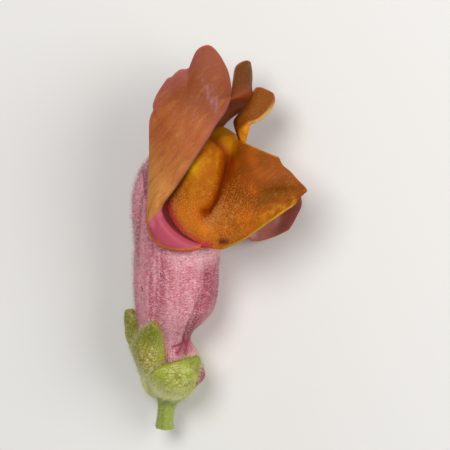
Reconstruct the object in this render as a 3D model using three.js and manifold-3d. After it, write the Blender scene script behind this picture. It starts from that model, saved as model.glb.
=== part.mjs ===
// One snapdragon flower, picked with its calyx and a stub of its stalk, lying on a table.
// Millimetres. The flower is drawn in its own working frame: X across it, Y from the stalk
// to the lips, Z up off the table. The last lines tip it onto its three low points.
import * as THREE from 'three';
import { mergeVertices } from 'three/addons/utils/BufferGeometryUtils.js';
import Module from 'manifold-3d';

const wasm = await Module();
wasm.setup();

// ---- driving dimensions ----
const PETAL_THICKNESS = 0.7;
const SEPAL_THICKNESS = 0.8;
const TUBE_WALL = 0.7;
const GAP = 0.3; // clearance between neighbouring pieces
const LEAN = 0.27; // rise of the tube's centre line for each millimetre of its length
const TUBE_DEPTH = 0.94; // the tube's thickness over its width
const TUBE_FOOT = 1.3; // height where the tube's open foot starts
const FILAMENT_RADIUS = 0.3;
const STYLE_RADIUS = 0.32;

// The flower lies on a sepal, the far upper lobe and the far lower lobe.
const REST_POINTS = [[2.86, 3.15, -3.18], [2.19, 29.73, -1.83], [10.78, 17.93, 0.15]];
const FLAT_DEPTH = 0.12; // how deep the small flat at each of them is
const MIDDLE_ON_TABLE = [6.16, 16.16]; // centre of the outline once the flower lies down

// Tube sections: height, centre across, half width.
const TUBE_SECTIONS = [
  [-0.6, -0.2, 0.9], [0.4, 0.1, 1.35], [1.3, 0.6, 1.95], [2.2, 0.8, 2.5], [3.2, 0.5, 2.5],
  [4.5, -0.03, 2.5], [5.8, -0.55, 2.36], [6.9, -0.5, 2.65], [8.0, 0.0, 3.3], [9.2, 0.4, 3.8],
  [11.0, 0.55, 4.1], [13.5, 0.6, 4.15], [16.0, 0.75, 4.25], [19.0, 0.75, 4.4],
  [21.0, 0.85, 4.35], [22.4, 1.0, 4.1], [24.0, 1.45, 3.85], [26.0, 2.2, 3.6],
];
const VENTRAL_ANGLE = 19; // degrees round the tube, from the +X side towards +Z
const RIM_LOW = 15.9; // height of the rim on the lower lip's side
const RIM_HIGH = 23.3; // and on the upper lip's side

// ---- surfaces ----
const { clamp, degToRad, lerp, smoothstep } = THREE.MathUtils;
const vector = ([x, y, z]) => new THREE.Vector3(x, y, z);

// Evenly spaced points along a smooth curve through hand-set points.
function rail(points, steps) {
  const curve = new THREE.CatmullRomCurve3(points.map(vector), false, 'catmullrom', 0.5);
  return curve.getSpacedPoints(steps);
}

// A net of points stretched across rails that run side by side.
function skin(rails, stepsAlong, stepsAcross) {
  const laid = rails.map((points) => rail(points, stepsAlong));
  const net = [];
  for (let along = 0; along <= stepsAlong; along++) {
    const across = new THREE.CatmullRomCurve3(laid.map((r) => r[along]), false, 'catmullrom', 0.5);
    net.push(across.getPoints(stepsAcross * (rails.length - 1)));
  }
  return net;
}

// Closes a net into a blade of even thickness, with the same triangles on both faces.
function blade(net, thickness) {
  const rows = net.length;
  const columns = net[0].length;
  const positions = [];
  const index = [];
  const at = (row, column) => net[clamp(row, 0, rows - 1)][clamp(column, 0, columns - 1)];
  for (const side of [0.5, -0.5]) {
    for (let row = 0; row < rows; row++) {
      for (let column = 0; column < columns; column++) {
        const along = at(row + 1, column).clone().sub(at(row - 1, column));
        const across = at(row, column + 1).clone().sub(at(row, column - 1));
        const normal = along.cross(across).normalize();
        positions.push(...net[row][column].clone().addScaledVector(normal, side * thickness).toArray());
      }
    }
  }
  const under = rows * columns;
  const id = (row, column) => row * columns + column;
  for (let row = 0; row < rows - 1; row++) {
    for (let column = 0; column < columns - 1; column++) {
      const [a, b] = [id(row, column), id(row + 1, column)];
      index.push(a, b, b + 1, a, b + 1, a + 1);
      index.push(b + under, a + under, b + 1 + under, b + 1 + under, a + under, a + 1 + under);
    }
  }
  const border = [];
  for (let row = 0; row < rows - 1; row++) border.push(id(row, 0));
  for (let column = 0; column < columns - 1; column++) border.push(id(rows - 1, column));
  for (let row = rows - 1; row > 0; row--) border.push(id(row, columns - 1));
  for (let column = columns - 1; column > 0; column--) border.push(id(0, column));
  border.forEach((from, k) => {
    const to = border[(k + 1) % border.length];
    index.push(to, from, from + under, to, from + under, to + under);
  });
  return toSolid(positions, index);
}

// A round stem through hand-set points, with a radius at each of them.
function stem(points, radii, sides, steps) {
  const path = new THREE.CatmullRomCurve3(points.map(vector), false, 'catmullrom', 0.5);
  const frames = path.computeFrenetFrames(steps, false);
  const positions = [];
  const index = [];
  for (let k = 0; k <= steps; k++) {
    const place = (k / steps) * (radii.length - 1);
    const low = Math.min(Math.floor(place), radii.length - 2);
    const radius = lerp(radii[low], radii[low + 1], place - low);
    for (let side = 0; side < sides; side++) {
      const turn = (side / sides) * Math.PI * 2;
      const point = path.getPoint(k / steps)
        .addScaledVector(frames.normals[k], radius * Math.cos(turn))
        .addScaledVector(frames.binormals[k], radius * Math.sin(turn));
      positions.push(...point.toArray());
    }
  }
  const last = steps * sides;
  for (let k = 0; k < steps; k++) {
    for (let side = 0; side < sides; side++) {
      const next = (side + 1) % sides;
      const [a, b, c, d] = [side, next, next + sides, side + sides].map((n) => n + k * sides);
      index.push(a, b, c, a, c, d);
    }
  }
  for (let side = 1; side < sides - 1; side++) {
    index.push(0, side + 1, side);
    index.push(last, last + side, last + side + 1);
  }
  return toSolid(positions, index);
}

// An egg: a sphere stretched and turned.
function egg(centre, radii, turn = [0, 0, 0], detail = [10, 6]) {
  const geometry = new THREE.SphereGeometry(1, ...detail);
  geometry.scale(...radii);
  geometry.applyMatrix4(new THREE.Matrix4().makeRotationFromEuler(new THREE.Euler(...turn)));
  geometry.translate(...centre);
  return fromGeometry(geometry);
}

// ---- solids ----
function toSolid(positions, index) {
  const geometry = new THREE.BufferGeometry();
  geometry.setAttribute('position', new THREE.Float32BufferAttribute(positions, 3));
  geometry.setIndex(index);
  return fromGeometry(geometry);
}

function fromGeometry(geometry) {
  geometry.deleteAttribute('normal');
  geometry.deleteAttribute('uv');
  const merged = mergeVertices(geometry, 1e-5);
  const mesh = new wasm.Mesh({
    numProp: 3,
    vertProperties: new Float32Array(merged.attributes.position.array),
    triVerts: new Uint32Array(merged.index.array),
  });
  const solid = new wasm.Manifold(mesh);
  return solid.volume() < 0 ? inverted(mesh) : solid;
}

function inverted({ numProp, vertProperties, triVerts }) {
  const turned = triVerts.slice();
  for (let k = 0; k < turned.length; k += 3) {
    [turned[k + 1], turned[k + 2]] = [turned[k + 2], turned[k + 1]];
  }
  return new wasm.Manifold(new wasm.Mesh({ numProp, vertProperties, triVerts: turned }));
}

const join = (solids) => solids.reduce((sum, solid) => sum.add(solid));
const carve = (solid, tools) => tools.reduce((rest, tool) => rest.subtract(tool), solid);

// Keeps the main body and drops the crumbs that a cut leaves.
function mainBody(solid) {
  return solid.decompose().reduce((best, piece) => (piece.volume() > best.volume() ? piece : best));
}

// ---- tube ----
// Reads a section between the listed ones, on a smooth curve through them.
function sectionAt(height) {
  const last = TUBE_SECTIONS.length - 1;
  let k = TUBE_SECTIONS.findIndex((section) => section[0] > height) - 1;
  if (k < 0) k = height < TUBE_SECTIONS[0][0] ? 0 : last - 1;
  const [before, from, to, after] = [k - 1, k, k + 1, k + 2].map((n) => TUBE_SECTIONS[clamp(n, 0, last)]);
  const span = to[0] - from[0];
  const t = clamp((height - from[0]) / span, 0, 1);
  return [1, 2].map((n) => {
    const leave = ((to[n] - before[n]) / (to[0] - before[0])) * span;
    const arrive = ((after[n] - from[n]) / (after[0] - from[0])) * span;
    return (2 * t ** 3 - 3 * t ** 2 + 1) * from[n] + (t ** 3 - 2 * t ** 2 + t) * leave
      + (3 * t ** 2 - 2 * t ** 3) * to[n] + (t ** 3 - t ** 2) * arrive;
  });
}

// A point round the tube at a height, standing off its outer face by a distance.
function onTube(degrees, height, standOff = 0) {
  const [centre, halfWidth] = sectionAt(height);
  const turn = degToRad(degrees);
  const rise = Math.hypot(1, LEAN);
  const across = (halfWidth + standOff) * Math.cos(turn);
  const up = (halfWidth * TUBE_DEPTH + standOff) * Math.sin(turn);
  return new THREE.Vector3(centre + across, height - (up * LEAN) / rise, LEAN * (height - 2) + up / rise);
}

// The same at a height in the working frame, for what lies against the tube.
function besideTube(degrees, y, standOff) {
  let height = y;
  for (let pass = 0; pass < 4; pass++) height += y - onTube(degrees, height, standOff).y;
  return onTube(degrees, height, standOff);
}

// The rim is low on the lower lip's side and climbs to the upper lip's.
function rimHeight(degrees) {
  const away = (1 - Math.cos(degToRad(degrees - VENTRAL_ANGLE))) / 2;
  return lerp(RIM_LOW, RIM_HIGH, smoothstep(away, 0.3, 1.0));
}

// The tube wall as a closed sleeve, open at both ends.
function sleeve(outside, inside, foot, overRim, sides = 36, steps = 16) {
  const positions = [];
  const index = [];
  for (const standOff of [outside, inside]) {
    for (let step = 0; step <= steps; step++) {
      for (let side = 0; side < sides; side++) {
        const degrees = (side / sides) * 360;
        const height = lerp(foot, rimHeight(degrees) + overRim, step / steps);
        positions.push(...onTube(degrees, height, standOff).toArray());
      }
    }
  }
  const inner = (steps + 1) * sides;
  for (let step = 0; step < steps; step++) {
    for (let side = 0; side < sides; side++) {
      const next = (side + 1) % sides;
      const [a, b, c, d] = [side, next, next + sides, side + sides].map((n) => n + step * sides);
      index.push(a, c, b, a, d, c);
      index.push(a + inner, b + inner, c + inner, a + inner, c + inner, d + inner);
    }
  }
  const top = steps * sides;
  for (let side = 0; side < sides; side++) {
    const next = (side + 1) % sides;
    index.push(side, next, next + inner, side, next + inner, side + inner);
    const [a, b, c, d] = [next, side, side + inner, next + inner].map((n) => n + top);
    index.push(a, b, c, a, c, d);
  }
  return toSolid(positions, index);
}

// ---- upper lip ----
// Each half is a hood from the tube's rim to a crest, and a lobe folded back from the crest
// to its free edge. Rails run from the hinge at the corner of the mouth to the notch between
// the two lobes.
const rimRail = (from, to, steps, standOff) => Array.from({ length: steps + 1 }, (unused, k) => {
  const degrees = lerp(from, to, k / steps);
  return onTube(degrees, rimHeight(degrees) + GAP + 0.05, standOff).toArray();
});

const NEAR_UPPER = [
  rimRail(72, 203, 6, -TUBE_WALL / 2),
  [[3.0, 15.7, 7.6], [0.8, 16.8, 8.3], [-0.9, 18.3, 8.3], [-1.6, 20.2, 8.2], [-1.2, 22.6, 8.4],
    [-0.3, 25.0, 8.6], [0.6, 27.2, 8.2], [0.95, 28.3, 7.3]],
  [[3.15, 15.65, 8.0], [1.5, 16.3, 8.3], [0.0, 17.4, 8.4], [-0.9, 18.6, 8.6], [-1.0, 19.8, 8.9],
    [0.0, 21.3, 9.5], [1.2, 23.1, 10.2], [2.9, 25.6, 10.8], [4.1, 27.5, 10.9], [5.0, 28.8, 10.4],
    [5.75, 29.8, 9.8]],
  [[3.2, 15.5, 8.3], [1.7, 16.0, 8.8], [0.3, 17.0, 9.1], [-0.7, 18.3, 9.3], [-0.85, 19.4, 9.7],
    [0.35, 21.0, 10.3], [1.55, 22.8, 11.0], [3.25, 25.4, 11.5], [4.45, 27.4, 11.6], [5.4, 28.9, 11.1],
    [6.0, 30.1, 10.1]],
  [[3.25, 15.4, 8.5], [1.3, 15.95, 9.0], [-0.2, 16.9, 9.2], [-1.1, 18.2, 9.3], [-1.2, 19.6, 9.9],
    [-0.2, 21.4, 10.6], [0.9, 23.3, 11.3], [2.5, 25.9, 11.8], [3.7, 28.0, 11.9], [4.8, 29.6, 11.6],
    [5.8, 30.2, 10.4]],
  [[3.25, 15.3, 8.6], [0.9, 15.8, 9.1], [-0.8, 16.6, 9.1], [-1.5, 18.1, 9.2], [-1.3, 20.2, 9.8],
    [-0.5, 23.0, 10.7], [0.6, 26.0, 11.3], [1.6, 29.0, 11.6], [3.2, 31.6, 11.9], [4.6, 32.3, 12.0],
    [5.6, 31.4, 11.3], [6.05, 30.3, 10.2]],
  [[3.3, 15.1, 8.7], [1.5, 14.9, 8.8], [-0.3, 15.1, 8.7], [-1.6, 15.9, 8.5], [-2.2, 17.2, 8.4],
    [-2.3, 19.0, 8.6], [-2.15, 21.0, 8.9], [-2.05, 23.0, 9.2], [-2.0, 25.0, 9.5], [-2.0, 27.5, 9.7],
    [-1.8, 28.5, 9.8], [-1.55, 28.9, 9.9], [-1.65, 29.4, 9.9], [-1.2, 30.5, 10.1], [-0.4, 31.7, 10.4],
    [0.0, 32.15, 10.5], [0.15, 32.0, 10.6], [0.5, 32.4, 10.7], [1.1, 32.85, 10.8], [1.9, 32.9, 11.0],
    [2.1, 33.3, 11.1], [2.6, 34.5, 11.5], [3.1, 35.0, 11.7], [3.8, 35.2, 11.9], [4.3, 35.0, 11.9],
    [5.0, 34.2, 11.8], [5.5, 33.3, 11.6], [5.85, 32.5, 11.3], [6.1, 31.2, 10.7], [6.1, 30.5, 10.3]],
];
const FAR_UPPER = [
  rimRail(326, 203, 7, -TUBE_WALL / 2),
  [[5.6, 17.4, 1.6], [4.0, 18.6, 0.6], [2.4, 20.2, 0.4], [1.4, 22.2, 0.9], [1.0, 24.4, 2.0],
    [0.9, 26.4, 3.8], [0.95, 27.8, 5.6], [0.95, 28.3, 7.3]],
  [[6.0, 17.2, 1.3], [4.4, 18.3, 0.2], [3.0, 19.8, 0.0], [2.3, 21.6, 0.5], [2.8, 23.4, 1.8],
    [3.7, 25.2, 3.4], [4.7, 27.0, 5.0], [5.8, 28.1, 6.2], [6.9, 28.9, 6.9], [7.3, 29.7, 8.2],
    [6.1, 30.15, 9.9]],
  [[6.1, 17.0, 1.0], [4.2, 17.8, -0.5], [2.2, 19.2, -1.0], [1.2, 21.4, -1.0], [1.6, 24.0, -0.7],
    [3.0, 26.4, 0.1], [4.9, 28.4, 1.4], [6.7, 30.0, 3.0], [7.85, 31.2, 4.8], [8.05, 31.9, 6.6],
    [7.1, 31.5, 8.5], [6.15, 30.4, 9.8]],
  [[6.2, 16.8, 0.9], [4.0, 17.0, -0.6], [1.4, 18.2, -1.3], [-0.5, 20.4, -1.6], [-1.2, 23.0, -1.8],
    [-1.0, 25.5, -2.0], [0.2, 28.0, -2.0], [2.6, 30.3, -1.3], [5.2, 31.9, 0.4], [7.2, 33.0, 2.8],
    [8.05, 33.6, 5.0], [7.75, 33.95, 6.5], [7.1, 33.75, 7.4], [6.5, 33.2, 8.2], [6.3, 32.0, 8.9],
    [6.2, 30.6, 9.7]],
];

function upperLip(extra = 0) {
  const thickness = PETAL_THICKNESS + extra;
  return join([blade(skin(NEAR_UPPER, 40, 2), thickness), blade(skin(FAR_UPPER, 32, 2), thickness)]);
}

// ---- lower lip ----
// Each half is one sheet: rails run from its lower border to its upper one, over the hump of
// the palate, through the cleft beside it and out over the side lobe to its tip.
const NEAR_LOWER = [
  [[-0.3, 19.4, 8.0], [-0.1, 20.6, 8.2], [0.6, 22.2, 8.5], [1.7, 24.2, 8.8], [2.8, 25.6, 8.7],
    [3.7, 26.3, 8.1]],
  [[0.9, 16.9, 8.0], [1.0, 18.6, 9.0], [1.5, 20.6, 9.8], [2.3, 22.4, 10.3], [3.1, 24.2, 10.3],
    [3.8, 25.3, 9.5], [4.3, 25.7, 8.5]],
  [[2.8, 15.5, 7.9], [2.9, 17.3, 9.1], [3.4, 19.2, 9.7], [4.2, 21.2, 10.1], [4.6, 23.2, 10.1],
    [4.75, 24.6, 9.5], [4.8, 25.5, 8.6]],
  [[3.6, 15.3, 8.0], [3.75, 16.6, 8.4], [3.95, 17.9, 8.0], [4.55, 19.6, 8.3], [5.1, 21.5, 8.9],
    [5.3, 23.3, 9.1], [5.2, 24.8, 8.9], [5.1, 25.7, 8.5]],
  [[4.3, 15.15, 8.3], [4.3, 16.6, 8.5], [4.25, 17.8, 7.6], [4.75, 19.4, 7.4], [5.35, 21.2, 7.9],
    [5.75, 23.0, 8.5], [5.9, 24.6, 8.9], [5.85, 25.8, 8.9]],
  [[5.3, 15.1, 8.8], [5.2, 16.5, 9.6], [4.9, 17.9, 9.5], [5.3, 19.3, 9.7], [5.75, 20.9, 10.1],
    [6.15, 22.4, 10.4], [6.6, 24.0, 10.3], [6.95, 25.2, 9.9], [7.2, 26.0, 9.4]],
  [[7.0, 15.8, 10.0], [7.2, 17.4, 11.0], [7.2, 19.2, 10.9], [7.6, 20.9, 10.9], [7.9, 22.5, 11.0],
    [8.1, 24.0, 10.7], [8.2, 25.3, 10.1]],
  [[9.5, 17.5, 11.1], [9.7, 18.9, 11.6], [9.9, 20.3, 11.2], [10.3, 21.4, 11.4], [10.3, 22.8, 11.3],
    [10.0, 24.5, 10.9]],
  [[12.4, 19.5, 11.6], [12.85, 20.2, 11.5], [13.0, 20.5, 11.4], [13.4, 20.6, 11.5], [13.6, 20.85, 11.6],
    [13.35, 21.25, 11.7], [12.7, 21.9, 11.7], [12.0, 22.7, 11.6], [11.2, 23.4, 11.4], [10.8, 24.2, 11.2]],
];
const FAR_LOWER = [
  [[1.9, 21.0, 2.6], [2.1, 22.6, 3.0], [2.7, 24.4, 3.8], [3.4, 26.1, 5.1], [3.9, 26.7, 6.5],
    [3.7, 26.3, 8.1]],
  [[3.4, 18.7, 2.2], [3.8, 20.6, 2.4], [4.2, 22.8, 2.9], [4.6, 24.9, 3.7], [4.8, 26.5, 4.9],
    [4.8, 27.0, 6.3], [4.3, 25.7, 8.5]],
  [[5.1, 17.2, 2.6], [5.3, 19.2, 2.8], [5.7, 21.4, 3.3], [6.1, 23.6, 4.2], [6.2, 25.3, 5.2],
    [5.8, 26.2, 6.4], [4.8, 25.5, 8.6]],
  [[5.8, 16.9, 2.8], [5.6, 18.6, 3.7], [5.7, 20.6, 4.8], [6.1, 22.6, 5.6], [6.5, 24.4, 6.2],
    [6.3, 25.5, 7.2], [5.1, 25.7, 8.5]],
  [[6.4, 17.0, 2.6], [6.0, 18.6, 4.2], [5.6, 20.2, 5.8], [5.8, 22.0, 6.6], [6.0, 23.8, 7.3],
    [6.1, 25.0, 8.0], [5.85, 25.8, 8.9]],
  [[7.0, 16.7, 2.4], [7.1, 18.2, 2.9], [6.9, 19.6, 3.8], [7.0, 21.0, 4.8], [7.2, 22.5, 5.8],
    [7.4, 24.0, 6.9], [7.4, 25.2, 8.2], [7.2, 26.0, 9.4]],
  [[8.4, 15.8, 1.6], [8.6, 17.6, 1.3], [8.7, 19.4, 1.8], [8.7, 21.2, 3.0], [8.6, 22.8, 4.6],
    [8.4, 24.2, 6.4], [8.0, 25.3, 8.2]],
  [[10.3, 16.2, 1.0], [10.7, 17.6, 0.5], [10.9, 19.2, 0.8], [10.9, 20.8, 2.0], [10.6, 22.2, 3.4],
    [10.0, 23.4, 5.0], [9.4, 24.4, 6.6]],
  [[12.0, 17.0, 1.3], [12.5, 17.8, 1.3], [12.9, 18.6, 1.7], [13.25, 19.4, 2.3], [13.2, 20.3, 2.9],
    [12.7, 21.4, 3.8], [11.9, 22.5, 4.8], [11.1, 23.3, 5.6]],
];
// The wall of the throat, from the tube's rim up to the border of the palate.
const THROAT = [
  rimRail(60, -28, 5, -TUBE_WALL / 2),
  [[3.3, 15.9, 7.3], [2.3, 17.6, 6.4], [2.2, 20.2, 6.0], [3.0, 22.6, 6.4], [3.5, 23.6, 6.6],
    [3.7, 22.8, 5.0], [3.6, 20.8, 4.2], [4.2, 18.8, 3.2], [5.4, 17.4, 2.9]],
  [[3.5, 15.6, 7.9], [2.8, 15.7, 7.8], [1.0, 17.0, 7.9], [-0.1, 19.4, 7.9], [0.8, 22.2, 8.4],
    [2.8, 25.4, 8.5], [3.7, 26.1, 8.0], [3.6, 25.9, 5.2], [2.3, 22.6, 3.2], [2.1, 21.0, 2.7],
    [3.5, 18.8, 2.3], [5.1, 17.4, 2.6], [5.7, 17.1, 2.8]],
];
const MIDDLE_LOBE = [
  [[6.85, 25.8, 9.1], [6.5, 26.7, 8.6], [6.35, 27.6, 8.0], [6.7, 28.4, 7.4], [7.3, 29.2, 6.9],
    [8.0, 30.4, 6.5], [8.6, 31.25, 6.3]],
  [[7.1, 25.7, 9.4], [7.0, 26.8, 9.4], [7.1, 27.5, 9.0], [7.6, 28.4, 8.3], [8.3, 29.4, 7.5],
    [8.9, 30.3, 6.9], [9.1, 31.25, 6.4]],
  [[7.4, 25.6, 9.5], [7.5, 26.7, 9.6], [7.8, 27.5, 9.3], [8.6, 28.3, 8.5], [9.3, 29.1, 7.6],
    [9.7, 30.0, 7.0], [9.8, 30.9, 6.6]],
  [[7.7, 25.5, 9.6], [7.9, 26.7, 9.3], [8.1, 27.6, 9.4], [9.2, 28.0, 8.9], [10.1, 28.9, 8.0],
    [10.5, 29.9, 7.4], [10.3, 30.6, 7.0]],
];

function lowerLip(extra = 0) {
  const thickness = PETAL_THICKNESS + extra;
  return join([
    blade(skin(NEAR_LOWER, 18, 2), thickness),
    blade(skin(FAR_LOWER, 18, 2), thickness),
    blade(skin(THROAT, 22, 3), thickness),
    blade(skin(MIDDLE_LOBE, 12, 2), thickness),
  ]);
}

// ---- calyx ----
// Each sepal has three rails from its base to its tip, in degrees round the tube, height and
// stand-off from the tube: one edge, the middle, the other edge.
const SEPALS = {
  sepal_1: [ // beside the upper lip
    [[165, 0.6, 0.8], [152, 2.2, 0.8], [146, 4.2, 0.8], [142, 6.2, 0.75], [145, 7.8, 0.7], [157, 8.9, 0.7]],
    [[180, 0.5, 0.8], [180, 2.4, 0.9], [180, 4.4, 0.9], [179, 6.4, 0.95], [174, 8.1, 0.8], [164, 9.0, 0.7]],
    [[200, 0.6, 0.8], [212, 2.2, 0.8], [218, 4.2, 0.8], [214, 6.2, 0.75], [196, 8.0, 0.7], [170, 8.9, 0.7]],
  ],
  sepal_2: [ // near side
    [[150, 0.8, 0.9], [163, 2.4, 0.9], [169, 4.0, 1.0], [157, 5.6, 1.0], [135, 6.9, 0.85], [116, 7.7, 0.7]],
    [[135, 0.6, 0.9], [134, 2.4, 1.2], [130, 4.2, 1.4], [124, 5.8, 1.2], [117, 7.0, 0.95], [112, 7.8, 0.7]],
    [[120, 0.8, 0.9], [112, 2.4, 0.9], [95, 4.2, 1.0], [86, 5.6, 1.0], [96, 6.9, 0.85], [108, 7.7, 0.7]],
  ],
  sepal_3: [ // near side, under the lower lip
    [[148, 0.9, 0.9], [142, 1.8, 1.0], [134, 2.4, 1.1], [114, 3.1, 1.2], [88, 3.65, 1.2],
      [60, 4.05, 1.0], [41, 4.2, 0.8]],
    [[106, 0.45, 0.9], [100, 1.2, 1.2], [88, 2.0, 1.4], [70, 2.8, 1.4], [52, 3.5, 1.1], [36, 4.15, 0.8]],
    [[62, 0.5, 0.8], [57, 1.2, 0.9], [51, 2.3, 1.0], [40, 3.3, 0.9], [33, 4.0, 0.75]],
  ],
  sepal_4: [ // far side, beside the upper lip
    [[222, 0.6, 0.8], [222, 2.0, 0.9], [226, 4.0, 0.9], [234, 5.8, 0.85], [246, 7.0, 0.7]],
    [[245, 0.5, 0.8], [247, 2.2, 1.1], [250, 4.2, 1.3], [253, 6.0, 1.0], [256, 7.4, 0.7]],
    [[268, 0.6, 0.8], [276, 2.0, 0.9], [279, 4.0, 0.9], [276, 5.8, 0.85], [265, 7.0, 0.7]],
  ],
  sepal_5: [ // far side, under the lower lip
    [[283, 0.6, 0.8], [281, 1.6, 0.9], [284, 3.0, 0.9], [291, 4.4, 0.85], [302, 5.4, 0.7]],
    [[305, 0.5, 0.8], [306, 1.6, 1.1], [307, 3.0, 1.2], [308, 4.4, 1.0], [308, 5.8, 0.7]],
    [[328, 0.6, 0.8], [330, 1.6, 0.9], [330, 3.0, 0.9], [325, 4.4, 0.85], [315, 5.4, 0.7]],
  ],
};

function sepal(name, extra = 0) {
  const rails = SEPALS[name].map((points) => points.map((point) => besideTube(...point).toArray()));
  return blade(skin(rails, 12, 4), SEPAL_THICKNESS + extra);
}

// ---- parts inside the tube, and the stalk ----
// Filaments leave the tube's wall at its neck; each anther has two lobes. Their points are in
// degrees round the tube, section height and stand-off from the tube's outer face.
const STAMENS = {
  stamen_1: [[150, 4.5, -1.32], [150, 5.8, -1.32], [148, 9.0, -1.5], [140, 14.0, -1.8], [131, 19.3, -1.9]],
  stamen_2: [[235, 4.5, -1.32], [235, 5.8, -1.32], [240, 9.0, -1.5], [245, 14.0, -1.8], [242, 19.6, -1.9]],
  stamen_3: [[62, 4.5, -1.32], [62, 5.8, -1.32], [75, 8.0, -1.5], [95, 11.5, -1.7], [105, 15.8, -1.6]],
  stamen_4: [[325, 4.5, -1.32], [325, 5.8, -1.32], [315, 8.0, -1.5], [297, 11.5, -1.7], [285, 16.0, -1.6]],
};
const STYLE = [[0.45, 3.3, 0.35], [-0.35, 5.2, 0.87], [-0.5, 6.6, 1.25], [0.1, 9.0, 1.9],
  [-0.3, 15.0, 3.6], [-0.9, 19.6, 4.7]];
const OVARY_FOOT = [[0.35, 1.15, -0.1], [0.5, 1.7, 0.0], [0.62, 2.3, 0.12]];
const STALK = [[-0.7, -3.2, -1.2], [-0.5, -1.6, -0.75], [-0.3, -0.5, -0.5], [0.0, 0.45, -0.35]];

function stamen(name) {
  const path = STAMENS[name].map((point) => onTube(...point).toArray());
  const [x, y, z] = path[path.length - 1];
  const lobes = [-0.4, 0.4].map((side) => egg([x + side * 0.6, y + 0.2, z + side], [0.42, 0.72, 0.48]));
  return join([stem(path, [FILAMENT_RADIUS, FILAMENT_RADIUS], 6, 10), ...lobes]);
}

function pistil() {
  return join([
    stem(OVARY_FOOT, [0.55, 0.7], 8, 2),
    egg([0.66, 2.75, 0.2], [0.95, 1.15, 0.9]),
    stem(STYLE, [STYLE_RADIUS, STYLE_RADIUS], 6, 12),
    egg(STYLE[STYLE.length - 1], [0.48, 0.42, 0.48], [0, 0, 0], [8, 5]),
  ]);
}

function pedicel() {
  return stem(STALK, [0.95, 0.9, 1.0, 1.55], 14, 7);
}

// ---- assembly ----
const restNormal = (() => {
  const [calyx, upper, lower] = REST_POINTS.map(vector);
  return upper.clone().sub(calyx).cross(lower.clone().sub(calyx)).negate().normalize();
})();
const restLevel = restNormal.dot(vector(REST_POINTS[0])) + FLAT_DEPTH;
const layFlat = (solid) => solid.trimByPlane(restNormal.toArray(), restLevel);

const solids = {};
solids.corolla_tube = sleeve(0, -TUBE_WALL, TUBE_FOOT, 0);
const fatTube = sleeve(GAP, -TUBE_WALL - GAP, TUBE_FOOT - GAP, GAP);
solids.upper_lip = mainBody(carve(upperLip(), [fatTube]));
solids.lower_lip = mainBody(carve(lowerLip(), [fatTube, upperLip(2 * GAP)]));
const sepalOrder = ['sepal_3', 'sepal_2', 'sepal_1', 'sepal_5', 'sepal_4'];
sepalOrder.forEach((name, k) => {
  const above = sepalOrder.slice(0, k).map((other) => sepal(other, 2 * GAP));
  solids[name] = mainBody(carve(sepal(name), [fatTube, ...above]));
});
for (const name of ['upper_lip', 'lower_lip', 'sepal_5']) solids[name] = layFlat(solids[name]);
solids.pedicel = pedicel();
for (const name of Object.keys(STAMENS)) solids[name] = stamen(name);
solids.pistil = pistil();

const FINISHES = {
  corolla_tube: [0xc87088, 0.65],
  upper_lip: [0xd08a62, 0.6],
  lower_lip: [0xd8861e, 0.65],
  sepal: [0x98a848, 0.6],
  pedicel: [0x8c9c46, 0.6],
  stamen: [0xe8c860, 0.55],
  pistil: [0xa8b868, 0.55],
};

function meshOf(name, solid) {
  const { vertProperties, triVerts } = solid.getMesh();
  const geometry = new THREE.BufferGeometry();
  geometry.setAttribute('position', new THREE.BufferAttribute(new Float32Array(vertProperties), 3));
  geometry.setIndex(new THREE.BufferAttribute(new Uint32Array(triVerts), 1));
  geometry.computeVertexNormals();
  const [color, roughness] = FINISHES[name] ?? FINISHES[name.replace(/_\d$/, '')];
  const mesh = new THREE.Mesh(geometry, new THREE.MeshStandardMaterial({ color, roughness, metalness: 0 }));
  mesh.name = name;
  return mesh;
}

const flower = new THREE.Group();
for (const [name, solid] of Object.entries(solids)) flower.add(meshOf(name, solid));
flower.quaternion.setFromUnitVectors(restNormal, new THREE.Vector3(0, 0, 1));
flower.position.set(-MIDDLE_ON_TABLE[0], -MIDDLE_ON_TABLE[1], -restLevel);

export default flower;
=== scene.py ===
import math

import bpy
import numpy as np
from mathutils import Matrix, Vector, noise


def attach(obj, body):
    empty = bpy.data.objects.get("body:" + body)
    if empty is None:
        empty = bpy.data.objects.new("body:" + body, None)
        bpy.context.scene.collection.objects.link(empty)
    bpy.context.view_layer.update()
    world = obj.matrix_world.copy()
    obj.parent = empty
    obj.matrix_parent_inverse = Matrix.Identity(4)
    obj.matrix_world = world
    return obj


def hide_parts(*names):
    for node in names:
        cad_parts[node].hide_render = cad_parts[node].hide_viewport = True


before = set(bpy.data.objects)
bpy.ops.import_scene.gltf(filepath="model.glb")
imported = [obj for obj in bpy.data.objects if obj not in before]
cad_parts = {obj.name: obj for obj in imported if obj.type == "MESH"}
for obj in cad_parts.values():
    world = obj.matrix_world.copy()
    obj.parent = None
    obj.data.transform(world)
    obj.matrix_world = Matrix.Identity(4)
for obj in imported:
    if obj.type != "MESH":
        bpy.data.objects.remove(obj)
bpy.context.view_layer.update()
print("frame loaded:", len(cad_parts), "nodes")

# The flower is drawn in millimetres in its own frame, X across, Y from stalk to lips and Z
# towards its near side, and then laid down on its three low points.
lying = {
    "lowPoints": [(2.86, 3.15, -3.18), (2.19, 29.73, -1.83), (10.78, 17.93, 0.15)],
    "flatDepth": 0.12,
    "middleOnTable": (6.16, 16.16),
}


def lyingTurn():
    calyx, upper, lower = (Vector(p) for p in lying["lowPoints"])
    up = -(upper - calyx).cross(lower - calyx).normalized()
    turn = np.array(up.rotation_difference(Vector((0, 0, 1))).to_matrix())
    x, y = lying["middleOnTable"]
    return turn, np.array([-x, -y, -up.dot(calyx) - lying["flatDepth"]])


restTurn, restShift = lyingTurn()


def layDown(points):
    return (np.asarray(points, float) @ restTurn.T + restShift) / 1000


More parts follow.
